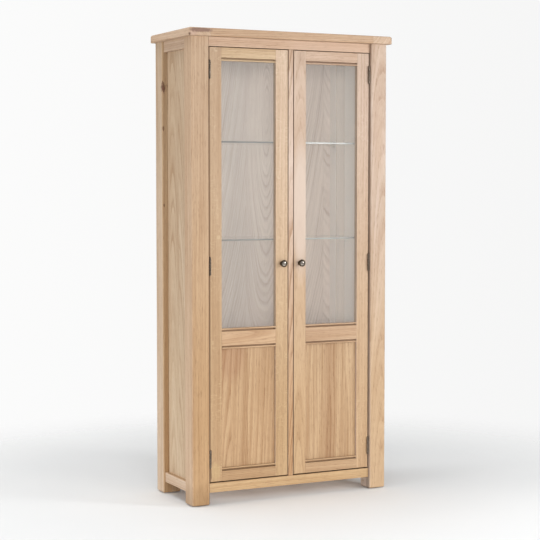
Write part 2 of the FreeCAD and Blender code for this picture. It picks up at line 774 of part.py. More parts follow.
def make_hinges():
    """The leaves on the legs, the leaves on the doors, and the pins."""
    axis_x, axis_y = hinge_axis()
    length = around(ZERO, size("hinge_length"))
    barrel = size("knuckle_radius")
    wall = barrel - size("hinge_pin_radius")
    bore = size("hinge_pin_radius") + size("pin_clearance")
    plate = size("leaf_thickness")
    bore_start = (axis_x, axis_y, length[0])

    frame_leaf = body("frame_leaf_pattern")
    plate_x = (-size("leg_gain"), plate - size("leg_gain"))
    web_y = hinge_web()
    box(frame_leaf, plate_x, (web_y[0], size("leaf_reach")), length)
    for low, high in knuckles()[0::2]:
        box(frame_leaf, (plate_x[0], axis_x - wall / 2), web_y, (low, high))
        rod(frame_leaf, (axis_x, axis_y, low), "+Z", barrel, high - low)
    rod(frame_leaf, bore_start, "+Z", bore, size("hinge_length"), cut=True)
    leaf_holes(frame_leaf, plate_x[1], "-X")

    door_leaf = body("door_leaf_pattern")
    plate_x = (
        size("hinge_gap") + size("stile_gain") - plate,
        size("hinge_gap") + size("stile_gain"),
    )
    box(door_leaf, plate_x, (leaf_plate_front(), size("leaf_reach")), length)
    for low, high in knuckles()[1::2]:
        box(door_leaf, plate_x, (web_y[0], leaf_plate_front()), (low, high))
        rod(door_leaf, (axis_x, axis_y, low), "+Z", barrel, high - low)
    rod(door_leaf, bore_start, "+Z", bore, size("hinge_length"), cut=True)
    leaf_holes(door_leaf, plate_x[0], "+X")

    pin = body("hinge_pin_pattern")
    gap = size("knuckle_gap")
    ends = wider(length, gap)
    rod(pin, (axis_x, axis_y, ends[0]), "+Z", size("hinge_pin_radius"), ends[1] - ends[0])
    for low, direction in ((ends[0], "-Z"), (ends[1], "+Z")):
        head = size("pin_head_radius")
        rod(pin, (axis_x, axis_y, low), direction, head, size("pin_head_height"), end_radius=head / 2)

    over = FreeCAD.Rotation(FreeCAD.Vector(0, 1, 0), 180)
    spots = {
        LEFT: [(-INNER, DOOR_FRONT, z, DIRECTIONS["+Z"]) for z in HINGE_HEIGHTS],
        RIGHT: [(INNER, DOOR_FRONT, z, over) for z in HINGE_HEIGHTS],
    }
    copies("hinge_frame_leaves", frame_leaf, spots[LEFT] + spots[RIGHT])
    for side, word in ((LEFT, "left"), (RIGHT, "right")):
        copies(f"{word}_hinge_door_leaves", door_leaf, spots[side])
        copies(f"{word}_hinge_pins", pin, spots[side])


# Screws


def screw_pattern(name, radius, head_radius, head_height, length):
    """A countersunk wood screw that points up from its head's face."""
    screw = body(name)
    point = size("screw_point")
    rod(screw, (ZERO, ZERO, ZERO), "+Z", head_radius, head_height, end_radius=radius)
    rod(screw, (ZERO, ZERO, head_height), "+Z", radius, length - head_height - point)
    rod(screw, (ZERO, ZERO, length - point), "+Z", radius, point, end_radius=size("screw_point_radius"))
    return screw


def pilot(owner, start, direction):
    """The hole of a small screw, from a face into the wood."""
    radius = size("screw_radius") + size("screw_clearance")
    rod(owner, start, direction, radius, size("screw_length"), cut=True)


def countersink(owner, start, direction):
    """The seat of a small screw's head, as deep as a leaf is thick."""
    clearance = size("screw_clearance")
    shank = size("screw_radius") + clearance
    rod(owner, start, direction, size("screw_head_radius") + clearance, size("leaf_thickness"), cut=True,
        end_radius=shank)


def make_screws():
    """The small countersunk screws of the hinges, catches and strike plates."""
    screw = screw_pattern(
        "screw_pattern",
        size("screw_radius"),
        size("screw_head_radius"),
        size("leaf_thickness"),
        size("screw_length"),
    )
    y = DOOR_FRONT + leaf_screw_depth()
    leg_face = size("leaf_thickness") - size("leg_gain")
    stile_face = size("hinge_gap") + size("stile_gain") - size("leaf_thickness")
    frame_spots = []
    for side, word, into_leg, into_door in ((LEFT, "left", "-X", "+X"), (RIGHT, "right", "+X", "-X")):
        leg_x = sideways(side, INNER - leg_face)
        door_x = sideways(side, INNER - stile_face)
        door_spots = []
        for z in leaf_screw_spots():
            frame_spots.append((leg_x, y, z, DIRECTIONS[into_leg]))
            door_spots.append((door_x, y, z, DIRECTIONS[into_door]))
        strike_x, strike_z = strike_centre(side)
        door_spots.append((strike_x, DOOR_BACK + size("strike_proud"), strike_z, DIRECTIONS["-Y"]))
        copies(f"{word}_door_screws", screw, door_spots)
        for x, z in catch_screw_spots(side):
            frame_spots.append((x, catch_plate_back(), z, DIRECTIONS["-Y"]))
    copies("frame_screws", screw, frame_spots)


# Magnetic catches and strike plates


def catch_x():
    """How far from the middle plane the catches and the knobs stand."""
    return MULLION_HALF + size("meeting_gap") + size("stile_width") / 2


def strike_centre(side):
    """X and Z of a strike plate's centre."""
    return (sideways(side, catch_x()), DOOR_Z[1] - size("strike_drop"))


def catch_screw_spots(side):
    """X and Z of the screws of one catch, on the part that laps the frieze rail."""
    z = FRIEZE[0] + size("catch_lap") / 2
    half = (size("catch_width") + size("catch_screw_inset")) / 2
    return [(sideways(side, catch_x()) + half * step, z) for step in (-1, 1)]


def catch_plate_back():
    """The back face of the catches' plates, where their screws' heads lie."""
    return RAIL_BACK + size("leaf_thickness") * 2


def make_catches():
    """The catch housings behind the frieze rail; their lower part faces the strike plates."""
    catches = []
    for side in (LEFT, RIGHT):
        catch = body("catch")
        x = around(sideways(side, catch_x()), size("catch_width"))
        lap = (FRIEZE[0], FRIEZE[0] + size("catch_lap"))
        y = (RAIL_BACK, RAIL_BACK + size("catch_depth"))
        box(catch, x, y, (FRIEZE[0] - size("catch_drop"), FRIEZE[0]))
        soften(catch, size("catch_round"), x=x, y=[y[1]], along="z")
        box(catch, wider(x, size("catch_screw_inset")), (y[0], catch_plate_back()), lap)
        for hole_x, z in catch_screw_spots(side):
            countersink(catch, (hole_x, catch_plate_back(), z), "-Y")
            shank = size("screw_radius") + size("screw_clearance")
            rod(catch, (hole_x, catch_plate_back(), z), "-Y", shank, size("leaf_thickness") * 2, cut=True)
        catches.append(catch)
    group("magnetic_catches", catches)


def make_strike(side, word):
    """The steel plate let into the back of a door, opposite its catch."""
    strike = body(f"{word}_strike_plate")
    x, z = strike_centre(side)
    back = DOOR_BACK + size("strike_proud")
    y = (back - size("leaf_thickness"), back)
    box(strike, around(x, size("strike_width")), y, around(z, size("strike_height")))
    countersink(strike, (x, back, z), "-Y")
    node(f"{word}_strike_plate", strike)


# Blocks that fasten the top board


def block_spots():
    """Each block's X, Y and the direction from it to the rail that it is screwed to."""
    half = size("block_size") / 2
    offset = size("block_offset")
    side_x = SIDE_RAIL_X[0] - half
    return [
        (-offset, RAIL_BACK + half, "-Y"),
        (offset, RAIL_BACK + half, "-Y"),
        (-offset, REAR_RAIL[0] - half, "+Y"),
        (offset, REAR_RAIL[0] - half, "+Y"),
        (-side_x, middle(*SIDE_GAP), "-X"),
        (side_x, middle(*SIDE_GAP), "+X"),
    ]


def block_screw_starts(x, y, direction):
    """Where a block's two screws begin, and their directions: one up into the top, one into the rail."""
    half = size("block_size") / 2
    inset = size("block_screw_inset")
    base = LEG_TOP - size("block_size")
    if direction[1] == "Y":
        face = y + half if direction == "-Y" else y - half
        return (((x - inset, y, base), "+Z"), ((x + inset, face, base + half), direction))
    face = x - half if direction == "+X" else x + half
    return (((x, y - inset, base), "+Z"), ((face, y + inset, base + half), direction))


def block_screw_holes(owner, wanted, reach=None):
    """Pilot holes in a rail or board for the blocks' screws of one direction, within its own X range."""
    radius = size("block_screw_radius") + size("screw_clearance")
    for x, y, direction in block_spots():
        for start, points in block_screw_starts(x, y, direction):
            inside = reach is None or reach[0].number < start[0].number < reach[1].number
            if points == wanted and inside:
                rod(owner, start, points, radius, size("block_screw_length") + END_GAP, cut=True)


def make_blocks():
    """The wooden blocks under the top board, and their screws."""
    clearance = size("screw_clearance")
    head_height = size("block_screw_head_height")
    screw = screw_pattern(
        "block_screw_pattern",
        size("block_screw_radius"),
        size("block_screw_head_radius"),
        head_height,
        size("block_screw_length"),
    )
    z = (LEG_TOP - size("block_size"), LEG_TOP)
    blocks, screws = [], []
    for x, y, direction in block_spots():
        block = body("block")
        long_x = direction[1] == "Y"
        width = around(x, size("block_length") if long_x else size("block_size"))
        depth = around(y, size("block_size") if long_x else size("block_length"))
        box(block, width, depth, z)
        for start, points in block_screw_starts(x, y, direction):
            shank = size("block_screw_radius") + clearance
            rod(block, start, points, size("block_screw_head_radius") + clearance, head_height, cut=True,
                end_radius=shank)
            rod(block, start, points, shank, size("block_size"), cut=True)
            screws.append((*start, DIRECTIONS[points]))
        blocks.append(block)
    group("top_fixing_blocks", blocks)
    copies("top_fixing_screws", screw, screws)


# Doors


class Door:
    """One door: a mortised frame with a beaded edge on its rails, a wooden panel below and glass above."""

    def __init__(self, side, word):
        self.side = side
        self.word = word
        self.near = size("hinge_gap")
        self.far = DOOR_FAR
        self.sight_near = self.near + size("stile_width")
        self.sight_far = self.far - size("stile_width")
        self.front_to_back = (DOOR_FRONT, DOOR_BACK)
        self.top_rail = (DOOR_Z[1] - size("door_top_rail_height"), DOOR_Z[1])
        self.mid_rail = (
            size("door_mid_rail_base"),
            size("door_mid_rail_base") + size("door_mid_rail_height"),
        )
        self.bottom_rail = (DOOR_Z[0], DOOR_Z[0] + size("door_bottom_rail_height"))
        self.panel_y = (
            DOOR_FRONT + size("sight_depth"),
            DOOR_FRONT + size("sight_depth") + size("door_panel_thickness"),
        )
        self.glass_y = (self.panel_y[0], self.panel_y[0] + size("glass_thickness"))

    def name(self, piece):
        """The node name of one of this door's pieces."""
        return f"{self.word}_door_{piece}"

    def rebate_y(self):
        """The glass rebate, open to the back."""
        return (self.panel_y[0], DOOR_BACK)

    def tenon_y(self):
        """The cheeks of the frame's tenons."""
        return cheeks(self.front_to_back)

    def tenon_z(self, rail):
        """The height range of a rail's tenons, clear of the rebates and grooves."""
        inset = size("rebate_width") + SHOULDER / 2
        return (rail[0] + inset, rail[1] - inset)

    def make_stile(self, label, low, high, sight, depth_sign):
        """A stile, grooved for the panel, rebated for the glass and mortised for the rails."""
        stile = body(self.name(label))
        x = across(self.side, low, high)
        box(stile, x, self.front_to_back, DOOR_Z)
        soften(stile, size("door_arris"), x=x, y=[DOOR_FRONT], along="z")
        soften(stile, size("door_arris"), y=[DOOR_FRONT], z=DOOR_Z, along="x")

        def into(depth):
            """X range of a cut of that depth, from the edge next to the openings."""
            low, high = (sight - depth, sight) if depth_sign < 0 else (sight, sight + depth)
            return across(self.side, low, high)

        rebate = size("rebate_width")
        panel_z = (self.bottom_rail[1] - rebate, self.mid_rail[0] + rebate)
        glass_z = (self.mid_rail[1] - rebate, self.top_rail[0] + rebate)
        box(stile, into(rebate), wider(self.panel_y, CLEARANCE), panel_z, cut=True)
        box(stile, into(rebate), self.rebate_y(), glass_z, cut=True)
        for rail in (self.bottom_rail, self.mid_rail, self.top_rail):
            z = wider(self.tenon_z(rail), CLEARANCE)
            box(stile, into(TENON + END_GAP), wider(self.tenon_y(), CLEARANCE), z, cut=True)
        return stile

    def make_hinge_stile(self):
        """The stile that the hinges are let into."""
        stile = self.make_stile("hinge_stile", self.near, self.sight_near, self.sight_near, -1)
        edge = across(self.side, self.near, self.near + size("stile_gain"))
        gain_y = (DOOR_FRONT, DOOR_FRONT + size("leaf_reach") + CLEARANCE)
        for centre in HINGE_HEIGHTS:
            box(stile, edge, gain_y, wider(around(centre, size("hinge_length")), CLEARANCE), cut=True)
        into_wood = "+X" if self.side < 0 else "-X"
        face = sideways(self.side, INNER - self.near)
        for z in leaf_screw_spots():
            pilot(stile, (face, DOOR_FRONT + leaf_screw_depth(), z), into_wood)
        node(self.name("hinge_stile"), stile)

    def make_meeting_stile(self):
        """The stile with the knob and the strike plate."""
        stile = self.make_stile("meeting_stile", self.sight_far, self.far, self.sight_far, 1)
        x = sideways(self.side, catch_x())
        hole = size("knob_screw_radius") + CLEARANCE
        rod(stile, (x, DOOR_FRONT, size("knob_height")), "+Y", hole, size("door_thickness"), cut=True)
        strike_x, strike_z = strike_centre(self.side)
        seat_y = (DOOR_BACK + size("strike_proud") - size("leaf_thickness"), DOOR_BACK)
        seat_z = wider(around(strike_z, size("strike_height")), CLEARANCE)
        box(stile, wider(around(strike_x, size("strike_width")), CLEARANCE), seat_y, seat_z, cut=True)
        pilot(stile, (strike_x, DOOR_BACK, strike_z), "-Y")
        node(self.name("meeting_stile"), stile)

    def mould_edge(self, rail, sight, inwards):
        """Run the bead and its quirk along one edge of a rail, between the stiles."""
        step = 1 if inwards > 0 else -1
        bead_edge = sight + size("bead_width") * step
        quirk_edge = bead_edge + size("quirk_width") * step
        z = (bead_edge, quirk_edge) if step > 0 else (quirk_edge, bead_edge)
        depth = DOOR_FRONT + size("quirk_depth")
        x = across(self.side, self.sight_near, self.sight_far)
        box(rail, x, (DOOR_FRONT, depth), z, cut=True)
        soften(rail, size("quirk_round"), y=[depth], z=z, along="x")
        soften(rail, size("bead_round"), y=[DOOR_FRONT], z=[sight, bead_edge], along="x")
        soften(rail, size("door_arris"), y=[DOOR_FRONT], z=[quirk_edge], along="x")

    def make_rail(self, label, z, moulded, glass_edges, panel_edges, outer=None):
        """A rail: moulded edges, rebates or grooves behind them, and a tenon on each end."""
        rail = body(self.name(label))
        x = across(self.side, self.sight_near, self.sight_far)
        box(rail, x, self.front_to_back, z)
        if outer is not None:
            soften(rail, size("door_arris"), y=[DOOR_FRONT], z=[outer], along="x")
        for sight, inwards in moulded:
            self.mould_edge(rail, sight, inwards)
        rebate = size("rebate_width")
        for sight, inwards in glass_edges:
            edge_z = (sight, sight + rebate) if inwards > 0 else (sight - rebate, sight)
            box(rail, x, self.rebate_y(), edge_z, cut=True)
        for sight, inwards in panel_edges:
            edge_z = (sight, sight + rebate) if inwards > 0 else (sight - rebate, sight)
            box(rail, x, wider(self.panel_y, CLEARANCE), edge_z, cut=True)
        tenon_z = self.tenon_z(z)
        box(rail, across(self.side, self.sight_near - TENON, self.sight_near), self.tenon_y(), tenon_z)
        box(rail, across(self.side, self.sight_far, self.sight_far + TENON), self.tenon_y(), tenon_z)
        node(self.name(label), rail)

    def make_rails(self):
        """The three rails of the door."""
        top, mid, bottom = self.top_rail, self.mid_rail, self.bottom_rail
        self.make_rail("top_rail", top, [(top[0], 1)], [(top[0], 1)], [], outer=top[1])
        self.make_rail("mid_rail", mid, [(mid[1], -1), (mid[0], 1)], [(mid[1], -1)], [(mid[0], 1)])
        self.make_rail("bottom_rail", bottom, [(bottom[1], -1)], [], [(bottom[1], -1)], outer=bottom[0])

    def make_panel(self):
        """The wooden panel, loose in its grooves."""
        tongue = size("rebate_width") - END_GAP
        panel = body(self.name("panel"))
        x = across(self.side, self.sight_near - tongue, self.sight_far + tongue)
        box(panel, x, self.panel_y, (self.bottom_rail[1] - tongue, self.mid_rail[0] + tongue))
        node(self.name("panel"), panel)

    def make_glass(self):
        """The pane, and the four beads that hold it from behind."""
        hold = size("rebate_width") - size("glass_edge_gap")
        pane = body(self.name("glass"))
        x = across(self.side, self.sight_near - hold, self.sight_far + hold)
        box(pane, x, self.glass_y, (self.mid_rail[1] - hold, self.top_rail[0] + hold))
        node(self.name("glass"), pane)
        y = (self.glass_y[1] + size("bead_seat_gap"), DOOR_BACK)
        rebate = size("rebate_width")
        beads = []
        full = (self.mid_rail[1] - rebate, self.top_rail[0] + rebate)
        between = across(self.side, self.sight_near, self.sight_far)
        runs = (
            (across(self.side, self.sight_near - rebate, self.sight_near), full),
            (across(self.side, self.sight_far, self.sight_far + rebate), full),
            (between, (self.mid_rail[1] - rebate, self.mid_rail[1])),
            (between, (self.top_rail[0], self.top_rail[0] + rebate)),
        )
        for run_x, run_z in runs:
            bead = body("glazing_bead")
            box(bead, run_x, y, run_z)
            beads.append(bead)
        group(self.name("glazing_beads"), beads)

    def make_knob(self):
        """The turned knob, domed inside a sunk ring, and the screw that holds it from behind."""
        x = sideways(self.side, catch_x())
        z = size("knob_height")
        knob = body(self.name("knob"))
        rose = size("knob_rose_thickness")
        face = size("knob_projection") - size("knob_dome_height")
        head = face - size("knob_head_thickness")
        waist = rose + size("knob_neck_length")
        neck = size("knob_neck_radius")
        rod(knob, (x, DOOR_FRONT, z), "-Y", size("knob_rose_radius"), rose)
        soften(knob, size("knob_rose_round"), y=[DOOR_FRONT - rose])
        rod(knob, (x, DOOR_FRONT - head, z), "-Y", size("knob_head_radius"), size("knob_head_thickness"))
        soften(knob, size("knob_head_round"), y=[DOOR_FRONT - head, DOOR_FRONT - face])
        start = (x, DOOR_FRONT - rose, z)
        rod(knob, start, "-Y", size("knob_foot_radius"), size("knob_neck_length"), end_radius=neck)
        rod(knob, (x, DOOR_FRONT - waist, z), "-Y", neck, head - waist, end_radius=size("knob_shoulder_radius"))
        ring = knob.newObject("PartDesign::SubtractiveTorus", "Ring")
        ring.Placement.Rotation = DIRECTIONS["-Y"]
        bind(ring, "Radius1", size("knob_ring_radius"))
        bind(ring, "Radius2", size("knob_ring_depth"))
        place(ring, x, DOOR_FRONT - face, z)
        dome = knob.newObject("PartDesign::AdditiveEllipsoid", "Dome")
        dome.Placement.Rotation = DIRECTIONS["-Y"]
        bind(dome, "Radius1", size("knob_dome_height") + size("knob_ring_depth"))
        bind(dome, "Radius2", size("knob_dome_radius"))
        bind(dome, "Radius3", size("knob_dome_radius"))
        place(dome, x, DOOR_FRONT - face + size("knob_ring_depth"), z)
        hole = size("knob_screw_radius") + CLEARANCE
        rod(knob, (x, DOOR_FRONT, z), "-Y", hole, size("knob_screw_reach") + END_GAP, cut=True)
        node(self.name("knob"), knob)
        screw = body(self.name("knob_screw"))
        head = size("knob_screw_head_height")
        rod(screw, (x, DOOR_BACK + head, z), "-Y", size("knob_screw_head_radius"), head)
        soften(screw, head / 2, y=[DOOR_BACK + head])
        reach = size("door_thickness") + size("knob_screw_reach")
        rod(screw, (x, DOOR_BACK, z), "-Y", size("knob_screw_radius"), reach)
        node(self.name("knob_screw"), screw)

    def make(self):
        """Build every piece of the door."""
        self.make_hinge_stile()
        self.make_meeting_stile()
        self.make_rails()
        self.make_panel()
        self.make_glass()
        self.make_knob()
        make_strike(self.side, self.word)


def check_document():
    """Stop if any object failed, or if a sub-part has no valid shape."""
    doc.recompute()
    for item in doc.Objects:
        if "Invalid" in item.State or "Error" in item.State:
            raise RuntimeError(f"{item.Label} did not recompute: {item.State}")
    for label, piece in nodes.items():
        if piece.Shape.isNull() or not piece.Shape.isValid():
            raise RuntimeError(f"{label} has no valid shape")


def write_parts():
    """Write each sub-part to its own file."""
    os.makedirs("parts", exist_ok=True)
    for label, piece in nodes.items():
        piece.Shape.exportStep(f"parts/{label}.step")
        print(label, len(piece.Shape.Solids), round(piece.Shape.Volume))


make_top()
make_front_leg("front_left_leg", LEFT)
make_front_leg("front_right_leg", RIGHT)
make_rear_leg("rear_left_leg", LEFT)
make_rear_leg("rear_right_leg", RIGHT)
make_glides()
make_front_rails()
make_mullion()
make_side(LEFT, "left")
make_side(RIGHT, "right")
make_back()
make_notched_board("bottom_board", size("bottom_board_top"), SIDE_RAIL_X[0], REAR_RAIL[0])
make_notched_board("fixed_shelf", size("fixed_shelf_top"), SIDE_PANEL_X[0], BACK_PANEL[0])
make_shelves()
make_battens()
make_supports()
make_hinges()
make_screws()
make_catches()
make_blocks()
for door_side, door_word in ((LEFT, "left"), (RIGHT, "right")):
    Door(door_side, door_word).make()
check_document()
write_parts()
print(len(nodes), "nodes")
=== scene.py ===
"""Looks of a glazed oak display cabinet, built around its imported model.

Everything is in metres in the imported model's frame: the front looks towards -Y, the floor is at z 0.
Each board's figure comes from growth rings about a pith line, so faces, edges and ends agree.
"""

import logging
import math
import random
from collections.abc import Callable, Sequence
from dataclasses import dataclass, replace
from enum import Enum
from functools import partial
from typing import get_args, get_type_hints

import bmesh
import bpy
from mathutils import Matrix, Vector


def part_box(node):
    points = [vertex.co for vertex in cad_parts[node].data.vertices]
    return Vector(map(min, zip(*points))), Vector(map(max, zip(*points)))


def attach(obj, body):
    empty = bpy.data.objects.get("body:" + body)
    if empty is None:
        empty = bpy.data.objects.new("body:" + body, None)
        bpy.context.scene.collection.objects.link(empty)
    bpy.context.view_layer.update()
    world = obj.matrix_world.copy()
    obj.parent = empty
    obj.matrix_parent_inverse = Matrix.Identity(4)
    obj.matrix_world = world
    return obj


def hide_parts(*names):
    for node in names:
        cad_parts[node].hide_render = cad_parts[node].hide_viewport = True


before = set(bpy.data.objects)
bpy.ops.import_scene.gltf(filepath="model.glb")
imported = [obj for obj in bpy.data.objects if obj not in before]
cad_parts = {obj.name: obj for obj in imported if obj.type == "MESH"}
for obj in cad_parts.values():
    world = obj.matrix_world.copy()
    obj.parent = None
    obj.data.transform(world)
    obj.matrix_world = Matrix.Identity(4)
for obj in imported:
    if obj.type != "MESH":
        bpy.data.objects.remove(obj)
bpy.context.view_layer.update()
LOG = logging.getLogger("display_cabinet")

Triple = tuple[float, float, float]
Colour = Triple
Socket = bpy.types.NodeSocket

HALF = (0.5, 0.5, 0.5)
WHITE = (1.0, 1.0, 1.0)


def screen(red: int, green: int, blue: int) -> Colour:
    """The linear colour, as shaders use it, of a screen colour from 0 to 255."""
    shares = (value / 255 for value in (red, green, blue))
    return tuple(((share + 0.055) / 1.055) ** 2.4 for share in shares)


def tinted(colour: Colour, tint: Colour) -> Colour:
    """A colour multiplied by a tint."""
    return tuple(part * share for part, share in zip(colour, tint))


class Axis(Enum):
    """A direction of the frame, by its place in a vector."""

    X = 0
    Y = 1
    Z = 2


class Term:
    """What comes out of a socket. Sums, products and steps of terms add nodes to their graph."""

    kind = ""

    def __init__(self, graph: "Graph", socket: Socket) -> None:
        """Keeps the graph and the socket."""
        self.graph = graph
        self.socket = socket

    def __add__(self, other: "Value") -> "Term":
        """The sum with another value."""
        return self.graph.math("ADD", self, other)

    def __sub__(self, other: "Value") -> "Term":
        """This term less another value."""
        return self.graph.math("SUBTRACT", self, other)

    def __rsub__(self, other: "Value") -> "Term":
        """Another value less this term."""
        return self.graph.math("SUBTRACT", other, self)

    def __mul__(self, other: "Value") -> "Term":
        """The product with another value."""
        return self.graph.math("MULTIPLY", self, other)

    def __truediv__(self, other: "Value") -> "Term":
        """This term divided by another value."""
        return self.graph.math("DIVIDE", self, other)

    def __abs__(self) -> "Term":
        """The term without its sign."""
        return self.graph.math("ABSOLUTE", self)

    def length(self) -> "Term":
        """The length of a vector."""
        return self.graph.math("LENGTH", self)

    def dot(self, other: "Value") -> "Term":
        """The dot product with another vector."""
        return self.graph.math("DOT_PRODUCT", self, other)

    def parts(self) -> "list[Term]":
        """The three parts of a vector."""
        node = self.graph.add("ShaderNodeSeparateXYZ", self)
        return [Term(self.graph, socket) for socket in node.outputs]

    def rise(self, low: "Value", high: "Value", start: float = 0.0, end: float = 1.0) -> "Term":
        """A smooth step from start to end while the term goes from low to high.

        Args:
            low: Where the step starts.
            high: Where it ends.
            start: The result up to low.
            end: The result from high.

        Returns:
            The step.
        """
        given = (self, low, high, start, end)
        node = self.graph.add("ShaderNodeMapRange", *given, interpolation_type="SMOOTHSTEP")
        return Term(self.graph, node.outputs[0])

    def fall(self, low: "Value", high: "Value") -> "Term":
        """A smooth step from one to nought while the term goes from low to high."""
        return self.rise(low, high, 1.0, 0.0)


class Number(Term):
    """A single number of an effect."""

    kind = "NodeSocketFloat"


class Place(Term):
    """A vector of an effect."""

    kind = "NodeSocketVector"


class Paint(Term):
    """A colour of an effect."""

    kind = "NodeSocketColor"


Value = float | Term | Sequence[float]


class Graph:
    """Adds nodes to one tree and joins their sockets."""

    def __init__(self, tree: bpy.types.NodeTree) -> None:
        """Keeps the tree to write in."""
        self.tree = tree

    def feed(self, socket: Socket, value: Value) -> None:
        """Links a socket to a term, or sets its own value.

        Args:
            socket: An input.
            value: A term, a number, a vector or a colour.
        """
        if isinstance(value, Term):
            self.tree.links.new(value.socket, socket)
        elif socket.type == "RGBA":
            socket.default_value = (*value, 1.0)
        elif socket.type == "VECTOR" and isinstance(value, float):
            socket.default_value = (value, value, value)
        else:
            socket.default_value = value

    def add(self, kind: str, *inputs: Value, **settings: object) -> bpy.types.Node:
        """A new node with its first inputs and its settings.

        Args:
            kind: The node's type.
            inputs: Values of its first inputs.
            settings: Its properties.

        Returns:
            The node.
        """
        node = self.tree.nodes.new(kind)
        for name, value in settings.items():
            setattr(node, name, value)
        for socket, value in zip(node.inputs, inputs):
            self.feed(socket, value)
        return node

    def math(self, operation: str, *values: Value, clamp: bool = False) -> Term:
        """The result of a Math node, or of a Vector Math node where a value is a vector.

        Args:
            operation: What to do.
            values: What to do it with.
            clamp: Whether a number stays between nought and one.

        Returns:
            The result.
        """
        kinds = [value.socket.type if isinstance(value, Term) else type(value) for value in values]
        if set(kinds) <= {"VALUE", float}:
            node = self.add("ShaderNodeMath", operation=operation, use_clamp=clamp)
        else:
            node = self.add("ShaderNodeVectorMath", operation=operation)
        for socket, value in zip(node.inputs, values):
            self.feed(socket, value)
        return Term(self, node.outputs[1 if operation in ("LENGTH", "DOT_PRODUCT") else 0])

    def here(self, output: str = "Object") -> Term:
        """The shaded point's place, or its normal, in the piece's own frame."""
        return Term(self, self.add("ShaderNodeTexCoord").outputs[output])

    def join(self, x: Value, y: Value, z: Value) -> Term:
        """A vector made of three numbers."""
        return Term(self, self.add("ShaderNodeCombineXYZ", x, y, z).outputs[0])

    def noise(
        self, place: Term, waves: Triple, detail: float = 2.0, roughness: float = 0.5, output: str = "Fac",
    ) -> Term:
        """Noise over a place.

        Args:
            place: Where to look it up, in metres.
            waves: Waves to a metre along each axis.
            detail: Octaves of finer noise.
            roughness: How strong each finer octave is.
            output: Fac for one number, Color for three.

        Returns:
            Numbers about 0.5.
        """
        node = self.add("ShaderNodeTexNoise")
        settings = {"Vector": place * waves, "Scale": 1.0, "Detail": detail, "Roughness": roughness}
        for name, value in settings.items():
            self.feed(node.inputs[name], value)
        return Term(self, node.outputs[output])

    def swirl(self, place: Term, waves: Triple, detail: float) -> Term:
        """Noise of three numbers about nought."""
        return self.noise(place, waves, detail, output="Color") - HALF

    def chance(self, number: Value, output: str = "Value") -> Term:
        """A steady random number, or Color, for each whole number.

        Args:
            number: The number that picks.
            output: Value for one number, Color for three.

        Returns:
            Numbers from nought to one.
        """
        node = self.add("ShaderNodeTexWhiteNoise", noise_dimensions="1D")
        self.feed(node.inputs["W"], number)
        return Term(self, node.outputs[output])

    def mix(self, factor: Value, first: Value, second: Value, blend: str = "MIX") -> Term:
        """Two colours mixed.

        Args:
            factor: The share of the second.
            first: What lies below.
            second: What is laid over it.
            blend: How they mix.

        Returns:
            The mixed colour.
        """
        node = self.add("ShaderNodeMix", data_type="RGBA", blend_type=blend)
        for index, value in zip((0, 6, 7), (factor, first, second)):
            self.feed(node.inputs[index], value)
        return Term(self, node.outputs[2])

    def bump(self, height: Value, distance: float, strength: float) -> Term:
        """A normal raised by a height.

        Args:
            height: The height, from nought to one.
            distance: The size of one, in metres.
            strength: How much of it shows.

        Returns:
            The normal.
        """
        node = self.add("ShaderNodeBump")
        for name, value in (("Height", height), ("Distance", distance), ("Strength", strength)):
            self.feed(node.inputs[name], value)
        return Term(self, node.outputs[0])

    def principled(self, **inputs: Value) -> bpy.types.Node:
        """Feeds the Principled shader's inputs, named with underscores for spaces.

        Args:
            inputs: The values, by the inputs' names.

        Returns:
            The shader.
        """
        shader = self.tree.nodes["Principled BSDF"]
        for name, value in inputs.items():
            self.feed(shader.inputs[name.replace("_", " ")], value)
        return shader

    def choose(self, share: Value, *shaders: bpy.types.Node, output: bpy.types.Node) -> None:
        """Sends a mix of two shaders to an output node.

        Args:
            share: The share of the second.
            shaders: The two shaders.
            output: The output node.
        """
        first, second = (Term(self, shader.outputs[0]) for shader in shaders)
        blend = self.add("ShaderNodeMixShader", share, first, second)
        self.feed(output.inputs["Surface"], Term(self, blend.outputs[0]))


class Effect:
    """A shader node group that a function writes once and many materials share.

    The function's hints say which kinds of socket go in and come out.
    """

    def __init__(self, write: Callable[..., tuple[Term, ...]], outputs: tuple[str, ...]) -> None:
        """Reads the function's hints.

        Args:
            write: The function, which gets a graph and the group's inputs.
            outputs: The names of the group's outputs.
        """
        self.write = write
        self.name = write.__name__
        hints = get_type_hints(write)
        gives = zip(outputs, get_args(hints.pop("return")))
        del hints["graph"]
        self.sockets = [("INPUT", *item) for item in hints.items()]
        self.sockets += [("OUTPUT", *item) for item in gives]

    def shared(self) -> bpy.types.NodeTree:
        """The one node tree of this effect, built when it is first asked for."""
        found = bpy.data.node_groups.get(self.name)
        if found:
            return found
        tree = bpy.data.node_groups.new(self.name, "ShaderNodeTree")
        for direction, label, hint in self.sockets:
            tree.interface.new_socket(name=label, in_out=direction, socket_type=hint.kind)
        graph = Graph(tree)
        entry = graph.add("NodeGroupInput")
        given = [Term(graph, socket) for socket in entry.outputs if socket.name]
        graph.add("NodeGroupOutput", *self.write(graph, *given))
        return tree

    def __call__(self, graph: Graph, *inputs: Value) -> list[Term]:
        """Puts the effect in a graph.

        Args:
            graph: Where it goes.
            inputs: The values of its inputs, in order.

        Returns:
            Its outputs, in order.
        """
        node = graph.add("ShaderNodeGroup", node_tree=self.shared())
        for socket, value in zip(node.inputs, inputs, strict=True):
            graph.feed(socket, value)
        return [Term(graph, socket) for socket in node.outputs]


def effect(*outputs: str) -> Callable[[Callable], Effect]:
    """Makes a shared effect, with the outputs named, of the function that follows."""
    return lambda write: Effect(write, outputs)


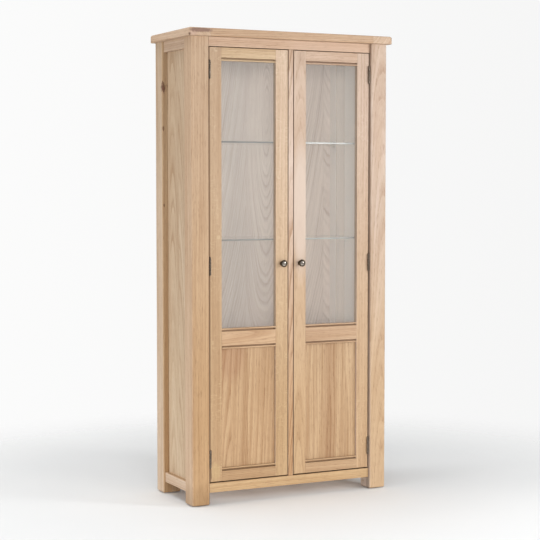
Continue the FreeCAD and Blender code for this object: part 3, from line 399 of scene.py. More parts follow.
@effect("position", "tone", "joint")
def glued_staves(
    graph: Graph, position: Place, width: Number, start: Number, spread: Number, seed: Number,
) -> tuple[Place, Number, Number]:
    """Splits a board's width into glued staves, each from another part of the tree.

    Args:
        graph: The group's tree.
        position: A place on the board, with z along its grain.
        width: The width of one stave.
        start: Where the first stave starts.
        spread: How far apart across the tree the staves come from.
        seed: Picks other staves.

    Returns:
        The place in the tree, a tone for each stave and the lines of the glue.
    """
    through_spread, along_spread = 0.1, 2.0
    glue_width = 0.0012
    tone_step = 40.5
    across, through, along = position.parts()
    count = (across - start) / width
    number = graph.math("FLOOR", count) + seed
    middle = graph.math("FRACT", count) - 0.5
    jump = (graph.chance(number, "Color") - HALF) * graph.join(spread, through_spread, along_spread)
    gap = (0.5 - abs(middle)) * width
    moved = graph.join(middle * width, through, along) + jump
    return moved, graph.chance(number + tone_step), gap.fall(0.0, glue_width)


@effect("rings", "streaks")
def growth_rings(
    graph: Graph, position: Place, pith: Place, slope: Place, spacing: Number, waver: Number, seed: Number,
) -> tuple[Number, Number]:
    """Growth rings about a wavering pith line, with their slow changes of tone.

    Args:
        graph: The group's tree.
        position: A place on the board, with z along its grain.
        pith: Where the pith passes the board's middle.
        slope: How far it drifts to a metre of length.
        spacing: The width of one ring.
        waver: How far the rings bend.
        seed: Picks other rings.

    Returns:
        The dark lines of the rings and the wide bands of tone.
    """
    seed_step = (1.37, 2.11, 3.73)
    slow_waves, slow_bend = (6.0, 6.0, 1.3), 2.0
    quick_waves, quick_bend = (45.0, 45.0, 7.0), 0.22
    streak_waves = (105.0, 1.0, 105.0)
    streak_stretch = 0.012
    faintest_ring = 0.25
    late_wood = 0.6
    along = position.parts()[2]
    seeded = position + seed * seed_step
    slow = graph.swirl(seeded, slow_waves, 1.0) * slow_bend
    quick = graph.swirl(seeded, quick_waves, 2.0) * quick_bend
    offset = position - (pith + slope * along) + (slow + quick) * waver
    radius = (offset * (1.0, 1.0, 0.0)).length()
    count = radius / spacing
    strength = graph.chance(graph.math("FLOOR", count) + seed).rise(0.1, 0.9, faintest_ring, 1.0)
    line = graph.math("FRACT", count).fall(0.0, late_wood)
    streaks = graph.noise(graph.join(radius, seed, along * streak_stretch), streak_waves, 5.0, 0.68)
    return line * strength, streaks


@effect("pores", "rays", "mottle")
def oak_pores_and_rays(
    graph: Graph, position: Place, rings: Number, seed: Number,
) -> tuple[Number, Number, Number]:
    """Open pores along the grain, and the pale ray flecks that cross it in straight or curly patches.

    Args:
        graph: The group's tree.
        position: A place in the tree, with z along the grain.
        rings: The lines of the rings, where pores are denser.
        seed: Picks other pores and flecks.

    Returns:
        The pores, the ray flecks and slow clouds of tone.
    """
    seed_step = (2.9, 1.7, 0.9)
    fine_waves, open_waves = (620.0, 620.0, 26.0), (230.0, 230.0, 30.0)
    ray_waves, patch_waves = (70.0, 24.0, 230.0), (14.0, 14.0, 5.0)
    curl_waves, curl_patch_waves = (18.0, 8.0, 24.0), (9.0, 9.0, 2.6)
    mottle_waves = (9.0, 9.0, 2.2)
    straight_share = 0.8
    seeded = position + seed * seed_step
    fine = graph.noise(seeded, fine_waves).rise(0.55, 0.7)
    wide = graph.noise(seeded, open_waves, 3.0, 0.7).rise(0.53, 0.66)
    pores = graph.math("MAXIMUM", fine, wide) * (rings * 0.6 + 0.4)
    straight = graph.noise(seeded, ray_waves).rise(0.54, 0.68)
    straight = straight * graph.noise(seeded, patch_waves, 1.0).rise(0.42, 0.62)
    curly = abs(graph.noise(seeded, curl_waves, 1.0) - 0.5).fall(0.002, 0.013)
    curly = curly * graph.noise(seeded, curl_patch_waves, 1.0).rise(0.52, 0.66)
    rays = graph.math("MAXIMUM", straight * straight_share, curly)
    return pores, rays, graph.noise(seeded, mottle_waves, 3.0)


@effect("colour", "height")
def wood_colour(
    graph: Graph, rings: Number, streaks: Number, pores: Number, rays: Number, mottle: Number,
    figure: Number, banding: Number, flecks: Number, pale: Paint, deep: Paint, pore: Paint, ray: Paint,
) -> tuple[Paint, Number]:
    """Brings rings, streaks, pores and rays together as colour and relief.

    Args:
        graph: The group's tree.
        rings: The dark lines of the rings.
        streaks: The wide bands of tone.
        pores: The open pores.
        rays: The ray flecks.
        mottle: Slow clouds of tone.
        figure: The strength of the ring lines.
        banding: The strength of the bands.
        flecks: The strength of the ray flecks.
        pale: The colour of early wood.
        deep: The colour of late wood.
        pore: The colour in the pores.
        ray: The colour of the flecks.

    Returns:
        The wood's colour and its height.
    """
    base_tone = 0.38
    cloud_share, pore_share = 0.5, 0.5
    ring_height, ray_height = -0.35, 0.2
    tone = (streaks.rise(0.3, 0.7) - 0.5) * banding + base_tone + (mottle - 0.5) * cloud_share
    tone = graph.math("ADD", tone, rings * figure, clamp=True)
    wood = graph.mix(pores * pore_share, graph.mix(tone, pale, deep), pore)
    wood = graph.mix(rays * flecks, wood, ray)
    return wood, rings * ring_height - pores + rays * ray_height


@effect("edge", "end")
def board_edges(graph: Graph, position: Place, half: Place, width: Number) -> tuple[Number, Number]:
    """Masks of a board's long edges, which are painted paler for wear and as a highlight on the arrises, and
    of the dark line where its end meets a neighbour.

    Args:
        graph: The group's tree.
        position: A place, from the board's middle.
        half: Half the board's size, up to its shoulders.
        width: How far the rubbing reaches.

    Returns:
        The mask of the edges and the mask of the end's line.
    """
    rub_waves = (40.0, 40.0, 14.0)
    line_start, line_end = 0.0002, 0.0011
    across, through, along = (half - abs(position)).parts()
    reach = width * (graph.noise(position, rub_waves) * 1.2 + 0.4)
    edge = graph.math("MAXIMUM", across, through) / reach
    return edge.fall(0.35, 1.0), abs(along).fall(line_start, line_end)


@effect("colour")
def height_tone(graph: Graph, colour: Paint, position: Place, normal: Place, foot: Paint) -> tuple[Paint]:
    """Painted shade: darkens and warms the wood towards its foot, on faces that do not look sideways, where
    the light falls off lower down.

    Args:
        graph: The group's tree.
        colour: The wood's colour.
        position: A place in the frame.
        normal: The way the face looks.
        foot: What the colour is multiplied by at the foot.

    Returns:
        The colour with its painted shade.
    """
    lowest, highest = 0.2, 1.75
    daylight = graph.math("SUBTRACT", 1.0, abs(normal.parts()[0]), clamp=True)
    low = position.parts()[2].fall(lowest, highest)
    return (graph.mix(low * daylight, colour, foot, "MULTIPLY"),)


@effect("shade")
def door_gap_shade(
    graph: Graph, normal: Place, toward: Place, both: Number, depth: Number, mouth: Number,
    side: Number, rim: Number,
) -> tuple[Number]:
    """The shade in the narrow gaps round a door: on faces turned to the gap, near its mouth.

    Args:
        graph: The group's tree.
        normal: The way the face looks.
        toward: The way to the gap.
        both: One where there is a gap on the other side too.
        depth: How far the place lies behind the front.
        mouth: How deep the shade goes.
        side: How far the place lies from the side next to the gap.
        rim: How far the shade goes round the front corner.

    Returns:
        The mask of the shade.
    """
    facing = normal.dot(toward)
    facing = graph.math("MAXIMUM", facing, facing * (both * -1.0)).rise(0.15, 0.8)
    turned = graph.math("MAXIMUM", facing, side.fall(rim * 0.8, rim))
    return (depth.fall(mouth * 0.7, mouth) * turned,)


@effect("inside")
def indoors(graph: Graph, position: Place, side: Number, back: Number, bottom: Number) -> tuple[Number]:
    """Which places lie inside the cabinet.

    Args:
        graph: The group's tree.
        position: A place in the frame.
        side: Where the side panels are, to the left and right.
        back: Where the back panel is.
        bottom: Where the bottom board is.

    Returns:
        The mask of the inside.
    """
    x, y, z = position.parts()
    within = graph.math("LESS_THAN", abs(x), side) * graph.math("LESS_THAN", y, back)
    return (within * graph.math("GREATER_THAN", z, bottom),)


@effect("shade")
def groove_shade(graph: Graph, depth: Number, reach: Number) -> tuple[Number]:
    """The shade that gathers in a narrow groove, deeper than its rounded edges."""
    return (depth.rise(reach * 0.25, reach),)


@effect("mask", "core")
def blemish(
    graph: Graph, position: Place, centre: Place, reach: Place, raggedness: Number,
) -> tuple[Number, Number]:
    """A soft-edged patch about one point and the smaller core inside it, for knots and mends and for painted
    shade and sheen.

    Args:
        graph: The group's tree.
        position: A place in the frame.
        centre: The patch's middle.
        reach: Its half size along each axis.
        raggedness: How rough its outline is.

    Returns:
        The mask of the patch and the mask of its core.
    """
    rough_waves = (170.0, 170.0, 70.0)
    rough = graph.swirl(position, rough_waves, 3.0) * raggedness
    distance = ((position - centre) / reach + rough).length()
    return distance.fall(0.5, 1.05), distance.fall(0.1, 0.5)


@effect("stain", "rub")
def metal_patina(graph: Graph, position: Place, seed: Number) -> tuple[Number, Number]:
    """Dark stain in clouds, and the brighter rubs of a handled metal.

    Args:
        graph: The group's tree.
        position: A place in the frame.
        seed: Moves the clouds.

    Returns:
        The mask of the stain and the mask of the rubs.
    """
    seed_step = (0.31, 0.17, 0.23)
    stain_waves, rub_waves = (190.0, 190.0, 150.0), (900.0, 900.0, 260.0)
    seeded = position + seed * seed_step
    stain = graph.noise(seeded, stain_waves, 4.0).rise(0.35, 0.65)
    return stain, graph.noise(seeded, rub_waves, 3.0).rise(0.5, 0.75)


@effect("dome", "hollow")
def turned_wear(graph: Graph, position: Place, centre: Place, radius: Number) -> tuple[Number, Number]:
    """Where a turned knob is rubbed bright on its dome, and where dirt stays round it.

    Args:
        graph: The group's tree.
        position: A place in the frame.
        centre: The knob's middle.
        radius: Its widest radius.

    Returns:
        The mask of the dome and the mask of the rest.
    """
    uneven_waves, uneven_share = (400.0, 400.0, 400.0), 0.2
    offset = position - centre
    uneven = (graph.noise(position, uneven_waves) - 0.5) * uneven_share
    share = (offset * (1.0, 0.0, 1.0)).length() / radius + uneven
    dome = share.fall(0.56, 0.72) * offset.parts()[1].fall(-0.002, 0.002)
    return dome, 1.0 - dome


class Figure(Enum):
    """How a board was cut.

    In turn: pith offset across and through, its drift across and through, ring spacing, and the
    strength of the ring lines, of the wide bands and of the ray flecks.
    """

    CROWN = (0.004, 0.062, 0.004, 0.034, 0.0054, 0.40, 0.46, 0.02)
    RIFT = (0.150, 0.130, 0.006, 0.006, 0.0052, 0.36, 0.52, 0.05)
    QUARTER = (0.260, 0.020, 0.005, 0.003, 0.0046, 0.26, 0.42, 0.52)
    FLAME = (0.090, 0.080, 0.036, 0.016, 0.0062, 0.38, 0.66, 0.03)
    LEAF = (0.004, 0.200, 0.000, -0.120, 0.0056, 0.52, 0.34, 0.02)

    @property
    def slope(self) -> Triple:
        """How far the pith drifts across and through, to a metre of length."""
        return (self.value[2], self.value[3], 0.0)

    @property
    def spacing(self) -> float:
        """Width of one ring, in metres."""
        return self.value[4]

    @property
    def shares(self) -> Triple:
        """Strength of the ring lines, of the wide bands and of the ray flecks."""
        return self.value[5:8]


@dataclass(frozen=True)
class Mark:
    """A mark on a board, in the frame's own places and in screen colours: mostly natural marks, and one patch
    of painted sheen.
    """

    centre: Triple
    reach: Triple
    colour: Triple
    strength: float = 0.8
    raggedness: float = 0.5
    core: Triple | None = None

    def over(self, graph: Graph, place: Term, colour: Term) -> Term:
        """The colour at a place, with this mark on it."""
        mask, core = blemish(graph, place, self.centre, self.reach, self.raggedness)
        return self.laid(graph, mask, core, colour)

    def laid(self, graph: Graph, mask: Term, core: Term, colour: Term) -> Term:
        """The colour with the mark's own ones mixed in.

        Args:
            graph: The material's tree.
            mask: Where the mark is.
            core: Where its core is.
            colour: The wood's colour there.

        Returns:
            The new colour.
        """
        colour = graph.mix(mask * self.strength, colour, screen(*self.colour))
        if self.core:
            colour = graph.mix(core * self.strength, colour, screen(*self.core))
        return colour


@dataclass(frozen=True)
class Wash(Mark):
    """A soft change of tone over part of a board, both the wood's own tone and painted shade and light: its
    colour multiplies the wood's.
    """

    raggedness: float = 0.1

    def laid(self, graph: Graph, mask: Term, core: Term, colour: Term) -> Term:
        """The colour multiplied where the mask is."""
        return graph.mix(mask, colour, self.colour, "MULTIPLY")


@dataclass(frozen=True)
class Gap:
    """Where a board faces the gap round a door, or a recess, and how strong the painted shade there is."""

    toward: Triple
    both: bool = False
    mouth: float = 0.016
    rim: float = 0.0
    strength: float = 0.85


@dataclass(frozen=True)
class Board:
    """How one board was cut and how it lies."""

    grain: Axis
    face: Axis
    figure: Figure = Figure.RIFT
    seed: int = 1
    # tint holds the board's own tone and also painted light, lighter or darker as light fell on that board;
    # foot multiplies the colour towards the floor as painted shade.
    tint: Colour = WHITE
    foot: Colour = (0.98, 0.87, 0.72)
    shoulder: float = 0.0
    stave: float = 0.0
    waver: float = 0.006
    figure_strength: float = 1.0
    fleck_strength: float = 1.0
    marks: tuple[Mark, ...] = ()
    stave_start: float = 0.0
    stave_spread: float = 0.12
    gap: Gap | None = None
    inside: Triple | None = None
    inside_share: float = 0.85
    quirk: float = 0.0

    def order(self) -> tuple[int, int, int]:
        """The frame's axes across the face, through the board and along its grain."""
        across = ({0, 1, 2} - {self.grain.value, self.face.value}).pop()
        return across, self.face.value, self.grain.value

    def pith(self) -> Triple:
        """The pith's offset, varied by the seed.

        Returns:
            How far it lies across, through and along.
        """
        dice = random.Random(self.seed)
        side = dice.choice((-1.0, 1.0))
        across, through = self.figure.value[:2]
        aside = side * across * dice.uniform(0.8, 1.3) + dice.uniform(-0.02, 0.02)
        return aside, through * dice.uniform(0.85, 1.2), 0.0


@dataclass(frozen=True)
class WoodFinish:
    """A timber and its lacquer. Its first five colours are screen colours."""

    name: str
    pale: Triple
    deep: Triple
    pore: Triple
    ray: Triple
    seam: Triple
    edge_strength: float = 0.30
    # The inner colour is laid over faces inside the cabinet: for oak a paler painted light, for the veneer
    # the back's own darker outer face.
    inner: Colour = (0.92, 0.86, 0.80)
    indoors: Triple = (0.4165, 0.172, 0.085)
    edge_width: float = 0.0035
    edge_tone: Colour = (1.10, 1.08, 1.04)
    stave_tone: Colour = (0.80, 0.74, 0.68)
    stave_share: float = 0.30
    joint_share: float = 0.35
    shoulder_share: float = 0.4
    quirk_share: float = 0.55
    # The colour of the painted shade in gaps and quirks.
    gap_tone: Colour = (0.110, 0.055, 0.024)
    roughness: float = 0.5
    roughness_range: float = 0.12
    relief: float = 0.00025
    relief_strength: float = 0.5


class BoardPaint:
    """Writes the material of one board, stage by stage."""

    seed_step = 0.37

    def __init__(self, finish: WoodFinish, node: str, board: Board) -> None:
        """Starts the material.

        Args:
            finish: The timber and its lacquer.
            node: The board's CAD node.
            board: How it was cut and how it lies.
        """
        self.finish = finish
        self.board = board
        self.material = new_material(f"{finish.name}_{node}")
        self.graph = Graph(self.material.node_tree)
        self.low, self.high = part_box(node)
        self.place = self.graph.here()
        self.normal = self.graph.here("Normal")
        parts = (self.place - tuple((self.low + self.high) / 2)).parts()
        self.position = self.graph.join(*(parts[index] for index in board.order()))

    def over(self, share: Value, colour: Value, blend: str = "MIX") -> None:
        """Lays a colour over what is there."""
        self.colour = self.graph.mix(share, self.colour, colour, blend)

    def depth(self) -> Term:
        """How far a place lies behind the board's front."""
        return self.place.parts()[1] - self.low.y

    def grow(self) -> None:
        """Lays down the wood's own figure: rings, pores, rays and glued staves."""
        graph, board, finish = self.graph, self.board, self.finish
        seed = board.seed * self.seed_step
        grain = self.position
        if board.stave:
            grain, tone, joint = glued_staves(
                graph, grain, board.stave, board.stave_start, board.stave_spread, float(board.seed),
            )
        rings, streaks = growth_rings(
            graph, grain, board.pith(), board.figure.slope, board.figure.spacing, board.waver, seed,
        )
        pores, rays, self.mottle = oak_pores_and_rays(graph, grain, rings, seed)
        lines, bands, flecks = board.figure.shares
        pale, deep, ray = (
            tinted(screen(*colour), board.tint) for colour in (finish.pale, finish.deep, finish.ray)
        )
        self.colour, self.height = wood_colour(
            graph, rings, streaks, pores, rays, self.mottle, lines * board.figure_strength, bands,
            flecks * board.fleck_strength, pale, deep, screen(*finish.pore), ray,
        )
        if board.stave:
            self.over(tone.rise(0.0, 1.0, 0.0, finish.stave_share), finish.stave_tone, "MULTIPLY")
            self.over(joint * finish.joint_share, screen(*finish.seam))

    def age(self) -> None:
        """Pales the long edges as wear and a painted highlight, darkens the shoulder lines and paints shade
        towards the foot.
        """
        graph, board, finish = self.graph, self.board, self.finish
        half = [((self.high - self.low) / 2)[index] for index in board.order()]
        half[2] -= board.shoulder
        edge, end = board_edges(graph, self.position, tuple(half), finish.edge_width)
        # Paler long edges: partly wear, partly a painted highlight on the arrises.
        self.over(edge * finish.edge_strength, finish.edge_tone, "MULTIPLY")
        if board.shoulder:
            self.over(end * finish.shoulder_share, screen(*finish.seam))
        # Painted shade towards the foot, where the light falls off lower down.
        (self.colour,) = height_tone(graph, self.colour, self.place, self.normal, board.foot)

    def shelter(self) -> None:
        """Lays the inner colour on faces inside the cabinet, and painted shade in a quirk and beside the gap
        of a door.
        """
        graph, board, finish = self.graph, self.board, self.finish
        # For oak, the inner colour is a paler painted light on faces inside the cabinet; for the back veneer
        # it is the back's own darker outer face.
        if board.inside:
            x, y, _ = (self.normal * board.inside).parts()
            facing = graph.math("MAXIMUM", x, y).rise(0.5, 0.9)
            (within,) = indoors(graph, self.place, *finish.indoors)
            self.over(facing * within * board.inside_share, finish.inner)
        # Painted shade in the quirk beside each bead.
        if board.quirk:
            (shade,) = groove_shade(graph, self.depth(), board.quirk)
            self.over(shade * finish.quirk_share, finish.gap_tone)
        # Painted shade on faces beside the gap round a door.
        if board.gap:
            gap = board.gap
            toward = Vector(gap.toward)
            beside = max(toward.dot(self.low), toward.dot(self.high)) - self.place.dot(gap.toward)
            (shade,) = door_gap_shade(
                graph, self.normal, gap.toward, float(gap.both), self.depth(), gap.mouth, beside, gap.rim,
            )
            self.over(shade * gap.strength, finish.gap_tone)

    def finished(self) -> bpy.types.Material:
        """Runs every stage.

        Returns:
            The board's own material.
        """
        self.grow()
        self.age()
        self.shelter()
        for mark in self.board.marks:
            self.colour = mark.over(self.graph, self.place, self.colour)
        matt = self.finish.roughness
        self.graph.principled(
            Base_Color=self.colour,
            Roughness=self.mottle.rise(0.3, 0.7, matt, matt + self.finish.roughness_range),
            Normal=self.graph.bump(self.height, self.finish.relief, self.finish.relief_strength),
        )
        return self.material


@dataclass(frozen=True)
class GlassFinish:
    """Clear float glass. Its cut edges can show a tint."""

    name: str
    tint: Colour
    edge: Colour
    roughness: float = 0.0
    index: float = 1.5
    clarity: float = 0.93
    shadow: Colour = (0.99, 0.995, 0.99)
    ripple_waves: Triple = (7.0, 7.0, 5.0)
    ripple: float = 0.0002
    ripple_strength: float = 0.12

    def material(self, node: str, edge_axis: Axis, edge_width: float) -> bpy.types.Material:
        """The glass of one pane or shelf.

        Args:
            node: Its CAD node.
            edge_axis: The axis along which the tinted edges lie at the ends.
            edge_width: How deep the tint goes from each end.

        Returns:
            A material that lets light through to what stands behind.
        """
        material = new_material(f"{self.name}_{node}")
        graph = Graph(material.node_tree)
        low, high = (corner[edge_axis.value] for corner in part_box(node))
        place = graph.here()
        inside = (high - low) / 2 - abs(place.parts()[edge_axis.value] - (low + high) / 2)
        ripples = graph.noise(place, self.ripple_waves, 1.0)
        shader = graph.principled(
            Base_Color=graph.mix(inside.rise(0.0, edge_width), self.edge, self.tint),
            Roughness=self.roughness, IOR=self.index, Transmission_Weight=self.clarity,
            Normal=graph.bump(ripples, self.ripple, self.ripple_strength),
        )
        path = graph.add("ShaderNodeLightPath").outputs
        rays = (Term(graph, path[name]) for name in ("Is Shadow Ray", "Is Diffuse Ray"))
        unseen = graph.math("MAXIMUM", *rays)
        clear = graph.add("ShaderNodeBsdfTransparent", self.shadow)
        graph.choose(unseen, shader, clear, output=graph.tree.nodes["Material Output"])
        return material


@dataclass(frozen=True)
class MetalFinish:
    """A metal, or a plastic, with stain in its hollows and rubbed patches. Its colours are screen colours."""

    name: str
    body: Triple
    stain: Triple
    rub: Triple
    roughness: float = 0.35
    stain_share: float = 0.6
    rub_share: float = 0.3
    metallic: float = 1.0
    dome_share: float = 0.75
    dome_polish: float = 0.16
    stain_roughness: float = 0.15
    relief: float = 0.0001
    relief_strength: float = 0.4

    def material(self, seed: float = 0.0, knob: str = "") -> bpy.types.Material:
        """The metal.

        Args:
            seed: Moves the patina.
            knob: The CAD node of a turned knob, whose dome is rubbed bright.

        Returns:
            A material that any piece of this metal can wear.
        """
        material = new_material(self.name)
        graph = Graph(material.node_tree)
        body, stain, rub = (screen(*colour) for colour in (self.body, self.stain, self.rub))
        place = graph.here()
        stained, rubbed = metal_patina(graph, place, seed)
        colour = graph.mix(stained * self.stain_share, body, stain)
        colour = graph.mix(rubbed * self.rub_share, colour, rub)
        roughness = stained.rise(0.0, 1.0, self.roughness, self.roughness + self.stain_roughness)
        if knob:
            low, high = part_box(knob)
            dome, hollow = turned_wear(graph, place, tuple((low + high) / 2), (high.x - low.x) / 2)
            colour = graph.mix(dome * self.dome_share, colour, rub)
            colour = graph.mix(hollow * self.dome_share, colour, stain)
            roughness = roughness - dome * self.dome_polish
        graph.principled(
            Base_Color=colour, Metallic=self.metallic, Roughness=roughness,
            Normal=graph.bump(stained, self.relief, self.relief_strength),
        )
        return material


@dataclass(frozen=True)
class EdgeFinish:
    """The polished front edge of a glass shelf, between the screen colours of its two ends: darker at the
    left as painted shade, brighter at the right as painted reflection.
    """

    name: str
    left: Triple
    right: Triple
    cloud: Colour = (0.84, 0.87, 0.88)
    cloud_waves: Triple = (9.0, 1.0, 400.0)
    pale_from: float = -0.12
    pale_to: float = 0.12
    smoothest: float = 0.12
    roughest: float = 0.3
    clarity: float = 0.35

    def material(self) -> bpy.types.Material:
        """The edge's material."""
        material = new_material(self.name)
        graph = Graph(material.node_tree)
        place = graph.here()
        uneven = graph.noise(place, self.cloud_waves).rise(0.35, 0.65)
        # Painted shade and reflection: the edge darker at the left end, brighter at the right.
        pale = place.parts()[0].rise(self.pale_from, self.pale_to)
        tone = graph.mix(pale, screen(*self.left), screen(*self.right))
        graph.principled(
            Base_Color=graph.mix(uneven, tone, self.cloud, "MULTIPLY"),
            Roughness=uneven.rise(0.0, 1.0, self.smoothest, self.roughest),
            Transmission_Weight=self.clarity,
        )
        return material


def new_material(name: str) -> bpy.types.Material:
    """A new material with a Principled shader.

    Args:
        name: Its name.

    Returns:
        The material.
    """
    material = bpy.data.materials.new(name)
    material.use_nodes = True
    return material


def dress(node: str, material: bpy.types.Material) -> None:
    """Puts a material on a CAD node.

    Args:
        node: The node to dress.
        material: What it wears.
    """
    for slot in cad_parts[node].material_slots:
        slot.link = "OBJECT"
        slot.material = material
    LOG.info("dressed %s with %s", node, material.name)


def dress_board(finish: WoodFinish, node: str, board: Board) -> None:
    """Puts a wood finish on a board's CAD node."""
    dress(node, BoardPaint(finish, node, board).finished())


def piece_from(mesh: bmesh.types.BMesh, name: str, material: bpy.types.Material) -> bpy.types.Object:
    """A smooth-shaded object from a mesh under construction.

    Args:
        mesh: The mesh, which is freed.
        name: The piece's name.
        material: What it wears.

    Returns:
        The new object, in the scene.
    """
    data = bpy.data.meshes.new(name)
    mesh.to_mesh(data)
    mesh.free()
    for face in data.polygons:
        face.use_smooth = True
    data.materials.append(material)
    piece = bpy.data.objects.new(name, data)
    bpy.context.scene.collection.objects.link(piece)
    LOG.info("built %s with %d faces", name, len(data.polygons))
    return piece


OAK = WoodFinish(
    "oak", pale=(194, 171, 150), deep=(157, 126, 100), pore=(119, 85, 60), ray=(204, 186, 164),
    seam=(120, 82, 54),
)
VENEER = WoodFinish(
    "oak_veneer", pale=(226, 211, 200), deep=(178, 156, 142), pore=(184, 162, 144), ray=(232, 218, 202),
    seam=(168, 142, 120), edge_strength=0.0, inner=screen(172, 146, 116), indoors=(1.0, 1.0, 0.0),
)
INNER_WOOD = WoodFinish(
    "inner_wood", pale=(214, 190, 156), deep=(184, 150, 112), pore=(150, 112, 78), ray=(220, 200, 170),
    seam=(140, 104, 72),
)
PANE = GlassFinish("pane", tint=(0.97, 0.98, 0.97), edge=(0.80, 0.88, 0.85))
SHELF_GLASS = GlassFinish("shelf_glass", tint=(0.95, 0.975, 0.97), edge=(0.62, 0.80, 0.80), clarity=0.98)
UPPER_EDGE = EdgeFinish("upper_polished_edge", left=(120, 118, 114), right=(250, 249, 247))
LOWER_EDGE = EdgeFinish("lower_polished_edge", left=(132, 126, 118), right=(186, 186, 180))
ANTIQUE_BRONZE = MetalFinish("antique_bronze", body=(152, 138, 124), stain=(88, 74, 64), rub=(196, 184, 170))
PEWTER = MetalFinish(
    "antique_pewter", body=(142, 130, 112), stain=(82, 66, 48), rub=(214, 204, 194), roughness=0.28,
)
SCREW_STEEL = MetalFinish(
    "screw_steel", body=(150, 138, 116), stain=(96, 82, 62), rub=(206, 198, 178), roughness=0.3,
)
NICKEL = MetalFinish(
    "nickel", body=(198, 194, 186), stain=(150, 146, 138), rub=(224, 222, 216), roughness=0.22,
    stain_share=0.35,
)
SATIN_NICKEL = MetalFinish(
    "satin_nickel", body=(228, 220, 208), stain=(206, 196, 182), rub=(240, 234, 226), roughness=0.5,
    stain_share=0.35,
)
CATCH_PLASTIC = MetalFinish(
    "catch_plastic", body=(96, 66, 44), stain=(80, 54, 36), rub=(120, 88, 62), roughness=0.42, metallic=0.0,
)
GLIDE_PLASTIC = MetalFinish(
    "glide_plastic", body=(172, 164, 150), stain=(146, 136, 122), rub=(192, 184, 172), roughness=0.6,
    metallic=0.0,
)


